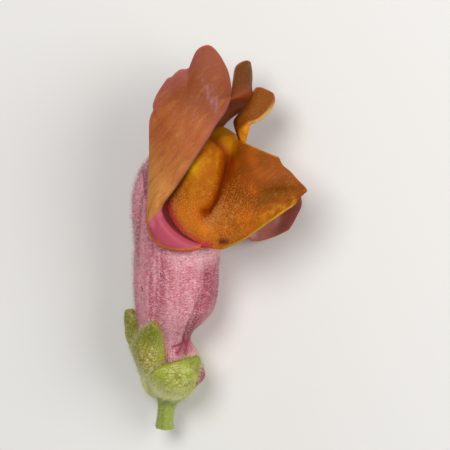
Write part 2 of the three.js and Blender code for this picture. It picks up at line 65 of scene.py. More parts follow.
def blend(t, start, leave, end, arrive):
    # from start to end, with the slopes it leaves and arrives at
    return ((2 * t**3 - 3 * t**2 + 1) * start + (t**3 - 2 * t**2 + t) * leave
            + (3 * t**2 - 2 * t**3) * end + (t**3 - t**2) * arrive)


def curveAt(points, places):
    # a smooth curve through the points, read at places from 0 to 1
    points = np.asarray(points, float)
    padded = np.concatenate([2 * points[:1] - points[1:2], points, 2 * points[-1:] - points[-2:-1]])
    spot = np.clip(places, 0, 1) * (len(points) - 1)
    k = np.minimum(spot.astype(int), len(points) - 2)
    t = (spot - k).reshape((-1,) + (1,) * (points.ndim - 1))
    before, start, end, after = (padded[k + n] for n in range(4))
    return blend(t, start, (end - before) / 2, end, (after - start) / 2)


def evenCurve(points, places):
    # the same curve, read at shares of its length
    dense = np.linspace(0, 1, 60 * len(points))
    return curveAt(points, np.interp(places, lengthShares(curveAt(points, dense)), dense))


def lengthShares(line):
    steps = np.linalg.norm(np.diff(line, axis=0), axis=-1)
    return np.concatenate([[0], np.cumsum(steps)]) / steps.sum()


def netThrough(rails, rows, gaps):
    # rows run along the rails, and gaps gives the columns between each rail and the next
    laid = np.array([evenCurve(r, np.linspace(0, 1, rows + 1)) for r in rails])
    places = [k + n / gap for k, gap in enumerate(gaps) for n in range(gap)] + [len(gaps)]
    return curveAt(laid, np.array(places) / len(gaps)).transpose(1, 0, 2)


def netNormals(net):
    normals = np.cross(np.gradient(net, axis=0), np.gradient(net, axis=1))
    return normals / np.maximum(np.linalg.norm(normals, axis=-1, keepdims=True), 1e-9)


def sideLengths(net):
    # millimetres to every place from the first row and from the first column
    return [np.cumsum(np.insert(np.linalg.norm(np.diff(net, axis=axis), axis=-1), 0, 0, axis=axis), axis=axis)
            for axis in (0, 1)]


def columnsOf(net):
    return np.arange(net.shape[1])[None, :] + 0 * net[..., 0]


def smooth(value, low, high):
    t = np.clip((value - low) / (high - low), 0, 1)
    return t * t * (3 - 2 * t)


def bell(value, middle, width, power=2):
    return np.exp(-((value - middle) / width) ** power)


def besideLine(net, line):
    # distance in the flower's XY to a drawn line, above 0 on its right and below 0 on its left
    start, end = np.array(line[:-1], float), np.array(line[1:], float)
    span, toPlace = end - start, net[..., None, :2] - start
    share = np.clip((toPlace * span).sum(-1) / (span * span).sum(-1), 0, 1)
    away = np.linalg.norm(toPlace - share[..., None] * span, axis=-1)
    side = np.where(span[:, 1] * toPlace[..., 0] < span[:, 0] * toPlace[..., 1], -1, 1)
    return np.take_along_axis(away * side, away.argmin(-1)[..., None], -1)[..., 0]


def nearLine(net, line, width):
    return bell(besideLine(net, line), 0, width)


def nearSpot(net, spot, radius):
    return np.exp(-((net[..., :2] - np.array(spot)) ** 2).sum(-1) / radius**2)


def roughly(net, size, seed=0):
    # even noise from -1 to 1 over the net's places
    flat = net.reshape(-1, 3) / size + seed
    return np.array([noise.noise(Vector(p)) for p in flat]).reshape(net.shape[:2])


def deselectAll():
    if bpy.context.object and bpy.context.object.mode != "OBJECT":
        bpy.ops.object.mode_set(mode="OBJECT")
    bpy.ops.object.select_all(action="DESELECT")


def join(first, *others):
    # picks the pieces, and makes them one
    deselectAll()
    for piece in (first, *others):
        piece.select_set(True)
    bpy.context.view_layer.objects.active = first
    if others:
        bpy.ops.object.join()
    return first


def justMade(name):
    piece = bpy.context.object
    piece.name = name
    return piece


def readPlaces(mesh, key="co"):
    flat = np.zeros(len(mesh.vertices) * 3)
    mesh.vertices.foreach_get(key, flat)
    return flat.reshape(-1, 3)


def readValue(mesh, key):
    flat = np.zeros(len(mesh.vertices))
    mesh.attributes[key].data.foreach_get("value", flat)
    return flat


def setShape(piece, places, values):
    # puts the vertices at their places on the flower, with their painted values
    piece.data.vertices.foreach_set("co", layDown(places).ravel())
    for key, value in values.items():
        kind, part = ("FLOAT", "value") if value.ndim == 1 else ("FLOAT_VECTOR", "vector")
        if key in ("paint", "back"):
            kind, part = "FLOAT_COLOR", "color"
            value = np.concatenate([value, np.ones((len(value), 1))], axis=1)
        made = piece.data.attributes.new(key, kind, "POINT")
        made.data.foreach_set(part, value.astype(np.float32).ravel())


def sheetPiece(name, net, **values):
    # a grid laid on the net; values holds one number or colour for each place of the net
    deselectAll()
    rows, columns = net.shape[0] - 1, net.shape[1] - 1
    bpy.ops.mesh.primitive_grid_add(x_subdivisions=rows, y_subdivisions=columns, size=2)
    piece = justMade(name)
    places = readPlaces(piece.data)
    row, column = (np.rint((places[:, n] + 1) / 2 * most).astype(int)
                   for n, most in enumerate((rows, columns)))
    setShape(piece, net[row, column], {key: value[row, column] for key, value in values.items()})
    return piece


def weld(*pieces, facing=None):
    # joins sheets along their shared borders; facing is a place and the way the sheet faces there
    piece = join(*pieces)
    bpy.ops.object.mode_set(mode="EDIT")
    bpy.ops.mesh.select_all(action="SELECT")
    bpy.ops.mesh.remove_doubles(threshold=4e-6)
    bpy.ops.mesh.normals_make_consistent(inside=False)
    bpy.ops.object.mode_set(mode="OBJECT")
    if facing:
        place, way = Vector(layDown(facing[0])), Vector(restTurn @ np.array(facing[1], float))
        face = min(piece.data.polygons, key=lambda f: (f.center - place).length)
        if face.normal.dot(way) < 0:
            piece.data.flip_normals()
    return piece


def applyModifier(piece, kind, **settings):
    modifier = piece.modifiers.new(kind.title(), kind)
    for key, value in settings.items():
        setattr(modifier, key, value)
    join(piece)
    bpy.ops.object.modifier_apply(modifier=modifier.name)


def thicken(piece, thickness, levels=1):
    # a petal wall: thin at its free edge, with its own finish on each face
    group = piece.vertex_groups.new(name="body")
    for index, value in enumerate(readValue(piece.data, "thin")):
        group.add([index], float(value), "REPLACE")
    applyModifier(piece, "SOLIDIFY", thickness=thickness / 1000, offset=0, vertex_group="body",
                  material_offset=1, material_offset_rim=0, use_even_offset=False)
    if levels:
        applyModifier(piece, "SUBSURF", levels=levels, render_levels=levels)
    bpy.ops.object.shade_smooth()


def rgb(*levels):
    return np.array([(c / 255 / 12.92) if c <= 10 else ((c / 255 + 0.055) / 1.055) ** 2.4 for c in levels])


def palette(**colours):
    return {name: rgb(*levels) for name, levels in colours.items()}


def coats(net, colours, ground, layers=()):
    # a ground colour with others laid over it in turn, each as thick as its mask
    paint = np.zeros(net.shape) + colours[ground]
    for name, mask in layers:
        paint = paint + (colours[name] - paint) * mask[..., None]
    return paint


class Value:
    # a shader value, with its sums written as plain expressions
    def __init__(self, finish, socket):
        self.finish, self.socket = finish, socket

    def maths(self, operation, first, second):
        return self.finish.node("ShaderNodeMath", {"operation": operation}, {0: first, 1: second})

    def __add__(self, other):
        return self.maths("ADD", self, other)

    def __mul__(self, other):
        return self.maths("MULTIPLY", self, other)

    def __rsub__(self, other):
        return self.maths("SUBTRACT", other, self)

    __radd__, __rmul__ = __add__, __mul__

    def between(self, low, high, toLow=0, toHigh=1):
        return self.finish.node("ShaderNodeMapRange", {"interpolation_type": "SMOOTHSTEP"},
                                {0: self, 1: low, 2: high, 3: toLow, 4: toHigh})


class Finish:
    def __init__(self, name):
        self.material = bpy.data.materials.new(name)
        self.material.use_nodes = True
        self.tree = self.material.node_tree

    def put(self, socket, value):
        if isinstance(value, Value):
            self.tree.links.new(value.socket, socket)
        elif hasattr(value, "__len__") and len(socket.default_value) == 4:
            socket.default_value = (*value, 1)
        else:
            socket.default_value = value

    def node(self, kind, settings, inputs, output=0):
        made = self.tree.nodes.new(kind)
        for key, value in settings.items():
            setattr(made, key, value)
        for key, value in inputs.items():
            self.put(made.inputs[key], value)
        return Value(self, made.outputs[output])

    def read(self, name, output="Fac"):
        return self.node("ShaderNodeAttribute", {"attribute_name": name}, {}, output)

    def noise(self, scale, detail=2, roughness=0.5, distortion=0, stretch=None):
        # noise over the way the piece's grain runs
        grain = self.read("grain", "Vector")
        if stretch:
            grain = self.node("ShaderNodeMapping", {}, {"Vector": grain, "Scale": stretch})
        return self.node("ShaderNodeTexNoise", {}, {"Vector": grain, "Scale": scale, "Detail": detail,
                                                    "Roughness": roughness, "Distortion": distortion})

    def layers(self, colours, layers, source="paint"):
        # the piece's own colour with others laid over it in turn, each by its mask
        colour = self.read(source, "Color")
        for name, mask in layers:
            inputs = {0: mask, 6: colour, 7: colours[name]}
            colour = self.node("ShaderNodeMix", {"data_type": "RGBA"}, inputs, 2)
        return colour

    def bump(self, height, distance, strength):
        return self.node("ShaderNodeBump", {},
                         {"Height": height, "Distance": distance / 1000, "Strength": strength})

    def shade(self, colour, rough, glow=(), **others):
        # glow is the share of light that passes through, its reach in red, green and blue, and its scale
        others.update(zip(("Subsurface_Weight", "Subsurface_Radius", "Subsurface_Scale"), glow))
        for key, value in {"Base_Color": colour, "Roughness": rough, **others}.items():
            self.put(self.tree.nodes["Principled BSDF"].inputs[key.replace("_", " ")], value)
        return self.material


tube = {
    # height, centre across, half width
    "sections": [(-0.6, -0.2, 0.9), (0.4, 0.1, 1.35), (1.3, 0.6, 1.95), (2.2, 0.8, 2.5), (3.2, 0.5, 2.5),
                 (4.5, -0.03, 2.5), (5.8, -0.55, 2.36), (6.9, -0.5, 2.65), (8, 0, 3.3), (9.2, 0.4, 3.8),
                 (11, 0.55, 4.1), (13.5, 0.6, 4.15), (16, 0.75, 4.25), (19, 0.75, 4.4), (21, 0.85, 4.35),
                 (22.4, 1, 4.1), (24, 1.45, 3.85), (26, 2.2, 3.6)],
    "lean": 0.27,
    "depth": 0.94,
    "foot": 0.2,
    "ventral": 19,
    "rimLow": 15.9,
    "rimHigh": 23.3,
    "wall": 0.3,
    "rows": 130,
    "columns": 288,
    "ribs": 11,
    "ribHeight": 0.04,
    "pleats": 54,
    "pleatHeight": 0.09,
    "pleatSlant": 11,
    "folds": 15,
    "foldHeight": 0.1,
    "lipOverlap": 0.3,
}


def sectionAt(height):
    table = np.array(tube["sections"])
    last = len(table) - 1
    k = np.clip(np.searchsorted(table[:, 0], height, side="right") - 1, 0, last - 1)
    before, start, end, after = (table[np.clip(k + n, 0, last)] for n in (-1, 0, 1, 2))
    span = end[..., :1] - start[..., :1]
    t = np.clip((np.asarray(height)[..., None] - start[..., :1]) / span, 0, 1)
    leave = (end - before) / (end[..., :1] - before[..., :1]) * span
    arrive = (after - start) / (after[..., :1] - start[..., :1]) * span
    read = blend(t, start, leave, end, arrive)
    return read[..., 1], read[..., 2]


def onTube(degrees, height, standOff=0):
    degrees, height = np.broadcast_arrays(np.asarray(degrees, float), np.asarray(height, float))
    centre, halfWidth = sectionAt(height)
    turn = np.radians(degrees)
    rise = math.hypot(1, tube["lean"])
    across = (halfWidth + standOff) * np.cos(turn)
    up = (halfWidth * tube["depth"] + standOff) * np.sin(turn)
    return np.stack([centre + across, height - up * tube["lean"] / rise,
                     tube["lean"] * (height - 2) + up / rise], axis=-1)


def besideTube(degrees, y, standOff):
    height = np.array(y, float)
    for _ in range(4):
        height = height + y - onTube(degrees, height, standOff)[..., 1]
    return onTube(degrees, height, standOff)


def rimHeight(degrees):
    away = (1 - np.cos(np.radians(degrees - tube["ventral"]))) / 2
    return tube["rimLow"] + (tube["rimHigh"] - tube["rimLow"]) * smooth(away, 0.3, 1)


skinColours = palette(
    pink=(200, 108, 126), light=(212, 138, 148), pale=(238, 184, 188), petal=(255, 164, 176),
    rosy=(172, 64, 90), dusk=(158, 66, 92), magenta=(158, 50, 82), crimson=(128, 10, 40),
    inside=(206, 140, 122), fleck=(60, 18, 22))


def tubeRelief(net, degrees, height):
    turn = np.radians(degrees)
    wander = roughly(net, 2.6)
    neck = smooth(height, 3, 4.6) * (1 - smooth(height, 7, 11))
    belly = 0.25 + 0.75 * smooth(np.cos(np.radians(degrees - 25)), -0.1, 0.8)
    pleat = np.abs(np.sin((turn * tube["pleats"] + tube["pleatSlant"] * (height - 6) + 2.5 * wander) / 2))
    fold = np.abs(np.sin((turn * tube["folds"] + 0.9 * (height - 6) + 2 * wander) / 2)) ** 0.7
    ribs = np.cos(turn * tube["ribs"] + 0.9 * roughly(net, 5, 3)) * smooth(height, 4, 9)
    pleated = neck * belly
    relief = (tube["pleatHeight"] * (pleat - 0.6) * pleated + tube["foldHeight"] * (fold - 0.6) * pleated
              + tube["ribHeight"] * ribs + 0.06 * roughly(net, 2.2, 7) + 0.025 * roughly(net, 0.7, 11))
    return relief * smooth(rimHeight(degrees) - height, 0, 1.2), pleat, pleated


tubeLines = {
    # across and up, as seen from the near side
    "dorsalFold": [(-2.1, 22.3), (-2.6, 20.5), (-2.9, 18.5), (-3.1, 16), (-3.2, 13.5)],
    "neckFolds": [[(2.95, 8.5), (2.2, 7.5), (1.75, 6.7), (1.6, 6), (1.2, 5.55)],
                  [(1.6, 6), (1.5, 5.5), (1.4, 4.7), (1.55, 3.8)],
                  [(0.2, 5.2), (0.7, 5.4), (1.2, 5.55)],
                  [(0.6, 4.5), (0.95, 5), (1.2, 5.55)],
                  [(1.2, 5.55), (1.25, 6.4), (1.6, 7.4), (2.3, 8.9), (2.8, 10.4)],
                  [(1.9, 7.3), (2.5, 8.4), (3.1, 9.8), (3.4, 11.5), (3.5, 13)]],
    "fleck": [(-2.78, 11.3), (-2.68, 10.95)],
    "waist": [(1.3, 4.4), (1.45, 5.5), (1.9, 6.5), (2.6, 7.9)],
    "waistSpot": (1, 5),
}


def buildTube():
    # rows go up the tube, and columns go round it from the far side
    share, degrees = np.meshgrid(np.linspace(0, 1, tube["rows"] + 1),
                                 np.linspace(-90, 270, tube["columns"] + 1), indexing="ij")
    height = tube["foot"] + (rimHeight(degrees) - tube["foot"]) * share
    net = onTube(degrees, height)
    relief, pleat, pleated = tubeRelief(net, degrees, height)
    facing = np.sin(np.radians(degrees)) > -0.1
    fold = nearLine(net, tubeLines["dorsalFold"], 0.22) * facing
    creases = np.max([nearLine(net, line, 0.16) for line in tubeLines["neckFolds"]], axis=0) * facing
    turn = np.radians(degrees)
    ring = np.stack([np.cos(turn), np.sin(turn), height], axis=-1)
    fine = ring * [13, 13, 0.25]
    streak = roughly(fine, 1) + 0.5 * roughly(fine, 0.45, 3)
    side = np.abs((degrees - tube["ventral"] + 180) % 360 - 180)  # 0 at the lower side, 180 at the upper
    lip = rimHeight(degrees) - height
    flank = smooth(side, 46, 20) * smooth(height, 17, 14) * smooth(height, 4.5, 7)
    streaked = 0.3 + 0.7 * np.maximum(bell(side, 100, 18), smooth(side, 55, 35))
    # painted light: paler down the middle of the near face, where the tube faces the light
    middle = bell(side, 66, 16) * smooth(height, 4, 8)
    waist = nearLine(net, tubeLines["waist"], 0.6)
    waist = np.clip(waist + 0.8 * nearSpot(net, tubeLines["waistSpot"], 0.7), 0, 1) * facing
    paint = coats(net, skinColours, "pink", [
        ("dusk", smooth(roughly(fine, 4, 6), 0, 0.5) * 0.35),
        ("magenta", flank * 0.9),
        ("crimson", flank * 0.5),
        ("rosy", smooth(streak, 0.05, 0.35) * streaked * 0.95),
        ("pale", smooth(-streak, 0.05, 0.45) * (1 - flank) * 0.5),
        # painted light down the middle of the near face
        ("light", middle * (0.5 + 0.4 * smooth(-streak, -0.3, 0.3))),
        # painted light just below the rim, lifting the shade under the lips
        ("pale", smooth(lip, 2.6, 0.2) * smooth(side, 100, 60) * 0.85),
        # painted light, low on the middle of the near face
        ("pale", bell(side, 78, 14) * smooth(height, 11, 8.5) * 0.35),
        # painted light: a brighter band on the upper flank, where the tube turns away from the light
        ("petal", bell(side, 126, 12) * 0.75),
        ("magenta", smooth(side, 141, 150) * 0.8),
        ("crimson", smooth(side, 12, 2) * smooth(height, 14, 11) * 0.5),
        ("pale", pleated * smooth(pleat, 0.45, 0.9) * 0.75),
        ("crimson", pleated * smooth(pleat, 0.35, 0.05) * 0.6),
        ("magenta", waist * (0.35 + 0.35 * smooth(pleat, 0.8, 0.2))),
        ("crimson", np.clip(creases * 0.97 + waist * 0.35, 0, 1)),
        ("crimson", fold * 0.75),
        ("crimson", smooth(height, 4.2, 2.6) * smooth(side, 70, 20) * 0.8),
        ("fleck", smooth(nearLine(net, tubeLines["fleck"], 0.1) * facing, 0.3, 0.8))])
    piece = sheetPiece(
        "corollaTube", onTube(degrees, height, relief - 0.12 * fold - 0.1 * creases), paint=paint,
        back=coats(net, skinColours, "inside"), grain=ring * [4.2, 4.2, 1],
        thin=0.35 + 0.65 * smooth(lip, 0, 0.9),
        fuzz=(0.1 + 0.9 * smooth(height, 6, 9.5)) * (1 - 0.5 * flank))
    return weld(piece, facing=((0.5, 12, 7), (0, 0, 1)))


upperLip = {
    "wall": 0.3,
    "rows": 112,
    "gapsNear": [12, 7, 5, 5, 10, 14],
    "gapsFar": [12, 12, 14, 15],
    "hingeNear": 72,
    "hingeFar": 326,
    "dorsal": 203,
    # painted highlights along the near lobe's soft fold, drawn in lilac
    "lilacHighlights": [[(3.3, 31.7), (3.75, 31), (4, 30.2), (4.15, 29.4)],
                     [(4.2, 31), (4.5, 30.3), (4.65, 29.4), (4.6, 28.6)],
                     [(3.75, 30.3), (4.3, 29.5), (4.45, 28.6)]],
    # rails of each half, from the tube's rim out to the free edge
    "railsNear": [
        [(3, 15.7, 7.6), (0.8, 16.8, 8.3), (-0.9, 18.3, 8.3), (-1.6, 20.2, 8.2), (-1.2, 22.6, 8.4),
         (-0.3, 25, 8.6), (0.6, 27.2, 8.2), (0.95, 28.3, 7.3)],
        [(3.2, 15.7, 7.6), (2.1, 16.5, 7.5), (1, 17.6, 7.5), (0.2, 18.7, 7.5), (-0.1, 19.9, 7.8),
         (0.6, 21.4, 8.4), (1.6, 23.2, 9.3), (3.1, 25.6, 10.2), (4.2, 27.4, 10.5), (5.05, 28.8, 10.2),
         (5.75, 29.8, 9.8)],
        [(3.15, 15.35, 8.4), (1.5, 15.9, 8.8), (0.1, 16.85, 9.1), (-0.85, 18.1, 9.3), (-0.95, 19.3, 9.7),
         (0.35, 21, 10.3), (1.55, 22.8, 11), (3.25, 25.4, 11.5), (4.5, 27.4, 11.6), (5.55, 28.9, 11.1),
         (6.05, 30.1, 10.1)],
        [(3.1, 15.3, 8.5), (1, 15.75, 8.95), (-0.5, 16.7, 9.12), (-1.3, 18, 9.25), (-1.3, 19.6, 9.9),
         (-0.2, 21.4, 10.6), (0.9, 23.3, 11.3), (2.5, 25.9, 11.8), (3.7, 28, 11.9), (4.8, 29.6, 11.6),
         (5.8, 30.2, 10.4)],
        [(3.1, 15.25, 8.55), (0.7, 15.45, 8.95), (-1.05, 16.4, 9), (-1.8, 18, 9.1), (-1.5, 20.2, 9.8),
         (-0.5, 23, 10.7), (0.6, 26, 11.3), (1.6, 29, 11.6), (3.2, 31.6, 11.9), (4.6, 32.3, 12),
         (5.6, 31.4, 11.3), (6.05, 30.3, 10.2)],
        [(3.05, 15.2, 8.6), (2.5, 14.97, 8.75), (0.9, 14.92, 8.85), (-0.5, 15.2, 8.7), (-1.6, 15.9, 8.5),
         (-2.2, 17.2, 8.4), (-2.3, 19, 8.6), (-2.15, 21, 8.9), (-2.05, 23, 9.2), (-2, 25, 9.5),
         (-2, 27.5, 9.7), (-1.8, 28.5, 9.8), (-1.55, 28.9, 9.9), (-1.65, 29.4, 9.9), (-1.2, 30.5, 10.1),
         (-0.4, 31.7, 10.4), (0, 32.15, 10.5), (0.15, 32, 10.6), (0.5, 32.4, 10.7), (1.1, 32.85, 10.8),
         (1.9, 32.9, 11), (2.1, 33.3, 11.1), (2.6, 34.5, 11.5), (3.1, 35, 11.7), (3.8, 35.2, 11.9),
         (4.3, 35, 11.9), (5, 34.2, 11.8), (5.5, 33.3, 11.6), (5.85, 32.5, 11.3), (6.1, 31.2, 10.7),
         (6.1, 30.5, 10.3)],
    ],
    "railsFar": [
        [(5.6, 17.4, 1.6), (4, 18.6, 0.6), (2.4, 20.2, 0.4), (1.4, 22.2, 0.9), (1, 24.4, 2),
         (0.9, 26.4, 3.8), (0.95, 27.8, 5.6), (0.95, 28.3, 7.3)],
        [(6, 17.2, 1.3), (4.4, 18.3, 0.2), (3, 19.8, 0), (2.3, 21.6, 0.5), (2.8, 23.4, 1.8),
         (3.7, 25.2, 3.4), (4.85, 26.9, 5), (6.1, 27.8, 6), (7.1, 28.4, 6.4), (7.6, 29.35, 7),
         (6.75, 29.9, 9), (5.9, 29.9, 9.8)],
        [(6.1, 17, 1), (4.2, 17.8, -0.5), (2.2, 19.2, -1), (1.2, 21.4, -1), (1.6, 24, -0.7), (3, 26.4, 0.1),
         (4.9, 28.4, 1.4), (6.7, 30, 3), (7.85, 31.2, 4.8), (8, 31.7, 6.4), (7.3, 31.3, 7.7),
         (6.4, 30.5, 8.9), (5.7, 29.95, 9.4)],
        [(6.2, 16.8, 0.9), (4, 17, -0.6), (1.4, 18.2, -1.3), (-0.5, 20.4, -1.6), (-1.2, 23, -1.8),
         (-1, 25.5, -2), (0.2, 28, -2), (2.6, 30, -1.3), (5.3, 30.8, 0.4), (7.3, 32.2, 2.8), (8.05, 33.6, 5),
         (7.75, 33.95, 6.5), (7.1, 33.75, 7.4), (6.5, 33.2, 8), (6.3, 32, 8.4), (6.1, 30.9, 8.8),
         (5.7, 30.1, 9.2)],
    ],
}
upperColours = skinColours | palette(
    salmon=(177, 98, 48), apricot=(212, 144, 72), umber=(140, 70, 34), rose=(148, 78, 56),
    orchid=(166, 92, 88), russet=(146, 68, 32), lilac=(184, 138, 160), shelf=(176, 74, 92),
    shelfLight=(206, 116, 128), band=(192, 108, 30), rimLine=(190, 48, 54), maroon=(96, 36, 32),
    bronze=(98, 54, 0), redBronze=(110, 46, 6), duskRose=(168, 92, 74), edge=(196, 112, 100))


def tucked(degrees):
    # a line just inside the tube's rim, where a lip starts
    return onTube(degrees, rimHeight(degrees) - tube["lipOverlap"], -0.1)


def softenFold(net, rowShare, columnShare, passes):
    # evens out a fold: each place moves towards the middle of its neighbours in the row
    share = (rowShare[:, None] * columnShare[None, :])[:, 1:-1, None] / 4
    for _ in range(passes):
        net[:, 1:-1] += share * (net[:, :-2] + net[:, 2:] - 2 * net[:, 1:-1])


def buildUpperLip():
    rows = upperLip["rows"]
    near, far = (netThrough([tucked(np.linspace(upperLip["hinge" + half], upperLip["dorsal"], 13)),
                             *upperLip["rails" + half]], rows, upperLip["gaps" + half])
                 for half in ("Near", "Far"))
    crest = sum(upperLip["gapsFar"][:2])  # column of the crest in both nets
    row, inside = np.arange(rows + 1), slice(crest + 1)
    # both halves meet along one line from the rim to the crest
    shared = (near[-1, inside] + far[-1, inside]) / 2
    for net in (near, far):
        net[:, inside] += (shared - net[-1, inside]) * smooth(row, rows - 16, rows)[:, None, None]
    softenFold(near, smooth(row, 44, 28), bell(np.arange(near.shape[1]), 34, 7), 80)
    softenFold(far, smooth(row, rows - 44, rows - 24), bell(np.arange(far.shape[1]), crest, 9), 60)
    halves = []
    for name, net, side in (("upperLip", near, 1), ("farHood", far, -1)):
        x, y, column = net[..., 0], net[..., 1], columnsOf(net)
        along, across = sideLengths(net)
        edge, fromCrest = across[:, -1:] - across, across - across[:, crest:crest + 1]
        # innerShade marks the inner wall beside the crest, which is painted maroon as shade
        lobe, innerShade = smooth(column, crest - 3, crest + 2), smooth(column, crest, crest - 1)
        relief = 0.16 * roughly(net, 4.5, 2) + 0.06 * roughly(net, 1.7, 5)
        relief = relief * smooth(edge, 0, 1) * lobe * smooth(y, 18, 21)
        net = net + netNormals(net) * relief[..., None]
        shelf = smooth(y - 19.1 - 1.3 * (x + 1), 0.12, -0.12) * (side > 0)
        lastCoat = ("edge", smooth(edge, 0.16, 0.05) * smooth(y, 20, 24) * 0.8)
        if side > 0:
            height, patches = y + 0.5 * x, roughly(net, 2.6, 9)
            broken = smooth(roughly(net, 0.4, 4), -0.2, 0.3)
            # painted highlight streaks along the fold
            streaks = [("lilac", nearLine(net, line, 0.09) * broken * 0.45 + nearLine(net, line, 0.3) * 0.05)
                       for line in upperLip["lilacHighlights"]]
            paint = coats(net, upperColours, "salmon", [
                ("apricot", smooth(patches, 0, 0.6) * smooth(y, 31, 25) * 0.55),
                # painted shade: darker towards the top of the near lobe
                ("umber", smooth(height, 27.5, 31.5) * 0.95),
                ("russet", smooth(patches, -0.1, -0.6) * 0.45),
                ("rose", smooth(height, 33.2, 35.5) * 0.8),
                # apricot towards the lower left, partly its own tone and partly painted light
                ("apricot", smooth(y + x, 26, 19) * 0.95),
                ("orchid", smooth(edge, 2.2, 0.2) * smooth(y, 27, 31) * smooth(x, 3.6, 2.2) * 0.7),
                *streaks,
                # painted highlight along the crest fold, in orchid
                ("orchid", smooth(np.abs(fromCrest), 0.7, 0.1) * smooth(y, 20, 24) * 0.5),
                ("shelf", shelf),
                ("shelfLight", shelf * smooth(roughly(net, 1.1, 3), 0.1, 0.5) * 0.6),
                ("band", smooth(edge, 0.5, 0.36) * smooth(y, 21.5, 20)),
                ("rimLine", smooth(edge, 0.2, 0.06) * smooth(y, 15.7, 15.2)),
                # painted shade on the inner wall between the shelf and the palate
                ("maroon", innerShade * 0.95), lastCoat])
            back = coats(net, upperColours, "dusk", [
                # painted light on the back below the rim, in place of the shade under the shelf
                ("light", smooth(x, -1, 0.5) * smooth(y, 18.5, 16.5)),
                ("rose", lobe * smooth(edge, 6, 1) * smooth(y, 16.5, 18.5))])
        else:
            paint = coats(net, upperColours, "bronze", [
                ("redBronze", smooth(y, 32.2, 29.8) * 0.9),
                # dusty rose where the far lobe turns under: partly its own hue, partly painted light against
                # its shade
                ("duskRose", smooth(column, crest + 2, crest - 3) * smooth(y, 30.2, 28.4) * 0.55),
                # painted highlight across the far lobe's twist
                ("russet", bell(y, 30.2, 0.9) * 0.6),
                # painted shade inside the far hood
                ("maroon", innerShade * smooth(y, 28, 25) * 0.9), lastCoat])
            back = coats(net, upperColours, "dusk", [
                ("bronze", lobe * smooth(y, 27, 30)),
                ("redBronze", lobe * smooth(edge, 7, 1) * smooth(y, 31, 27))])
        halves.append(sheetPiece(
            name, net, paint=paint, back=back,
            grain=np.stack([along * 0.35, fromCrest, side * 3 + 0 * along], axis=-1),
            thin=0.45 + 0.55 * smooth(edge, 0, 0.8), gloss=shelf * smooth(edge, 0.3, 0.5),
            mottle=(1 - shelf) * (0.3 if side < 0 else 1 - 0.6 * smooth(y, 30, 33)), fuzz=1 - lobe))
    return weld(*halves, facing=((1, 27, 11.4), (0, 0, 1)))


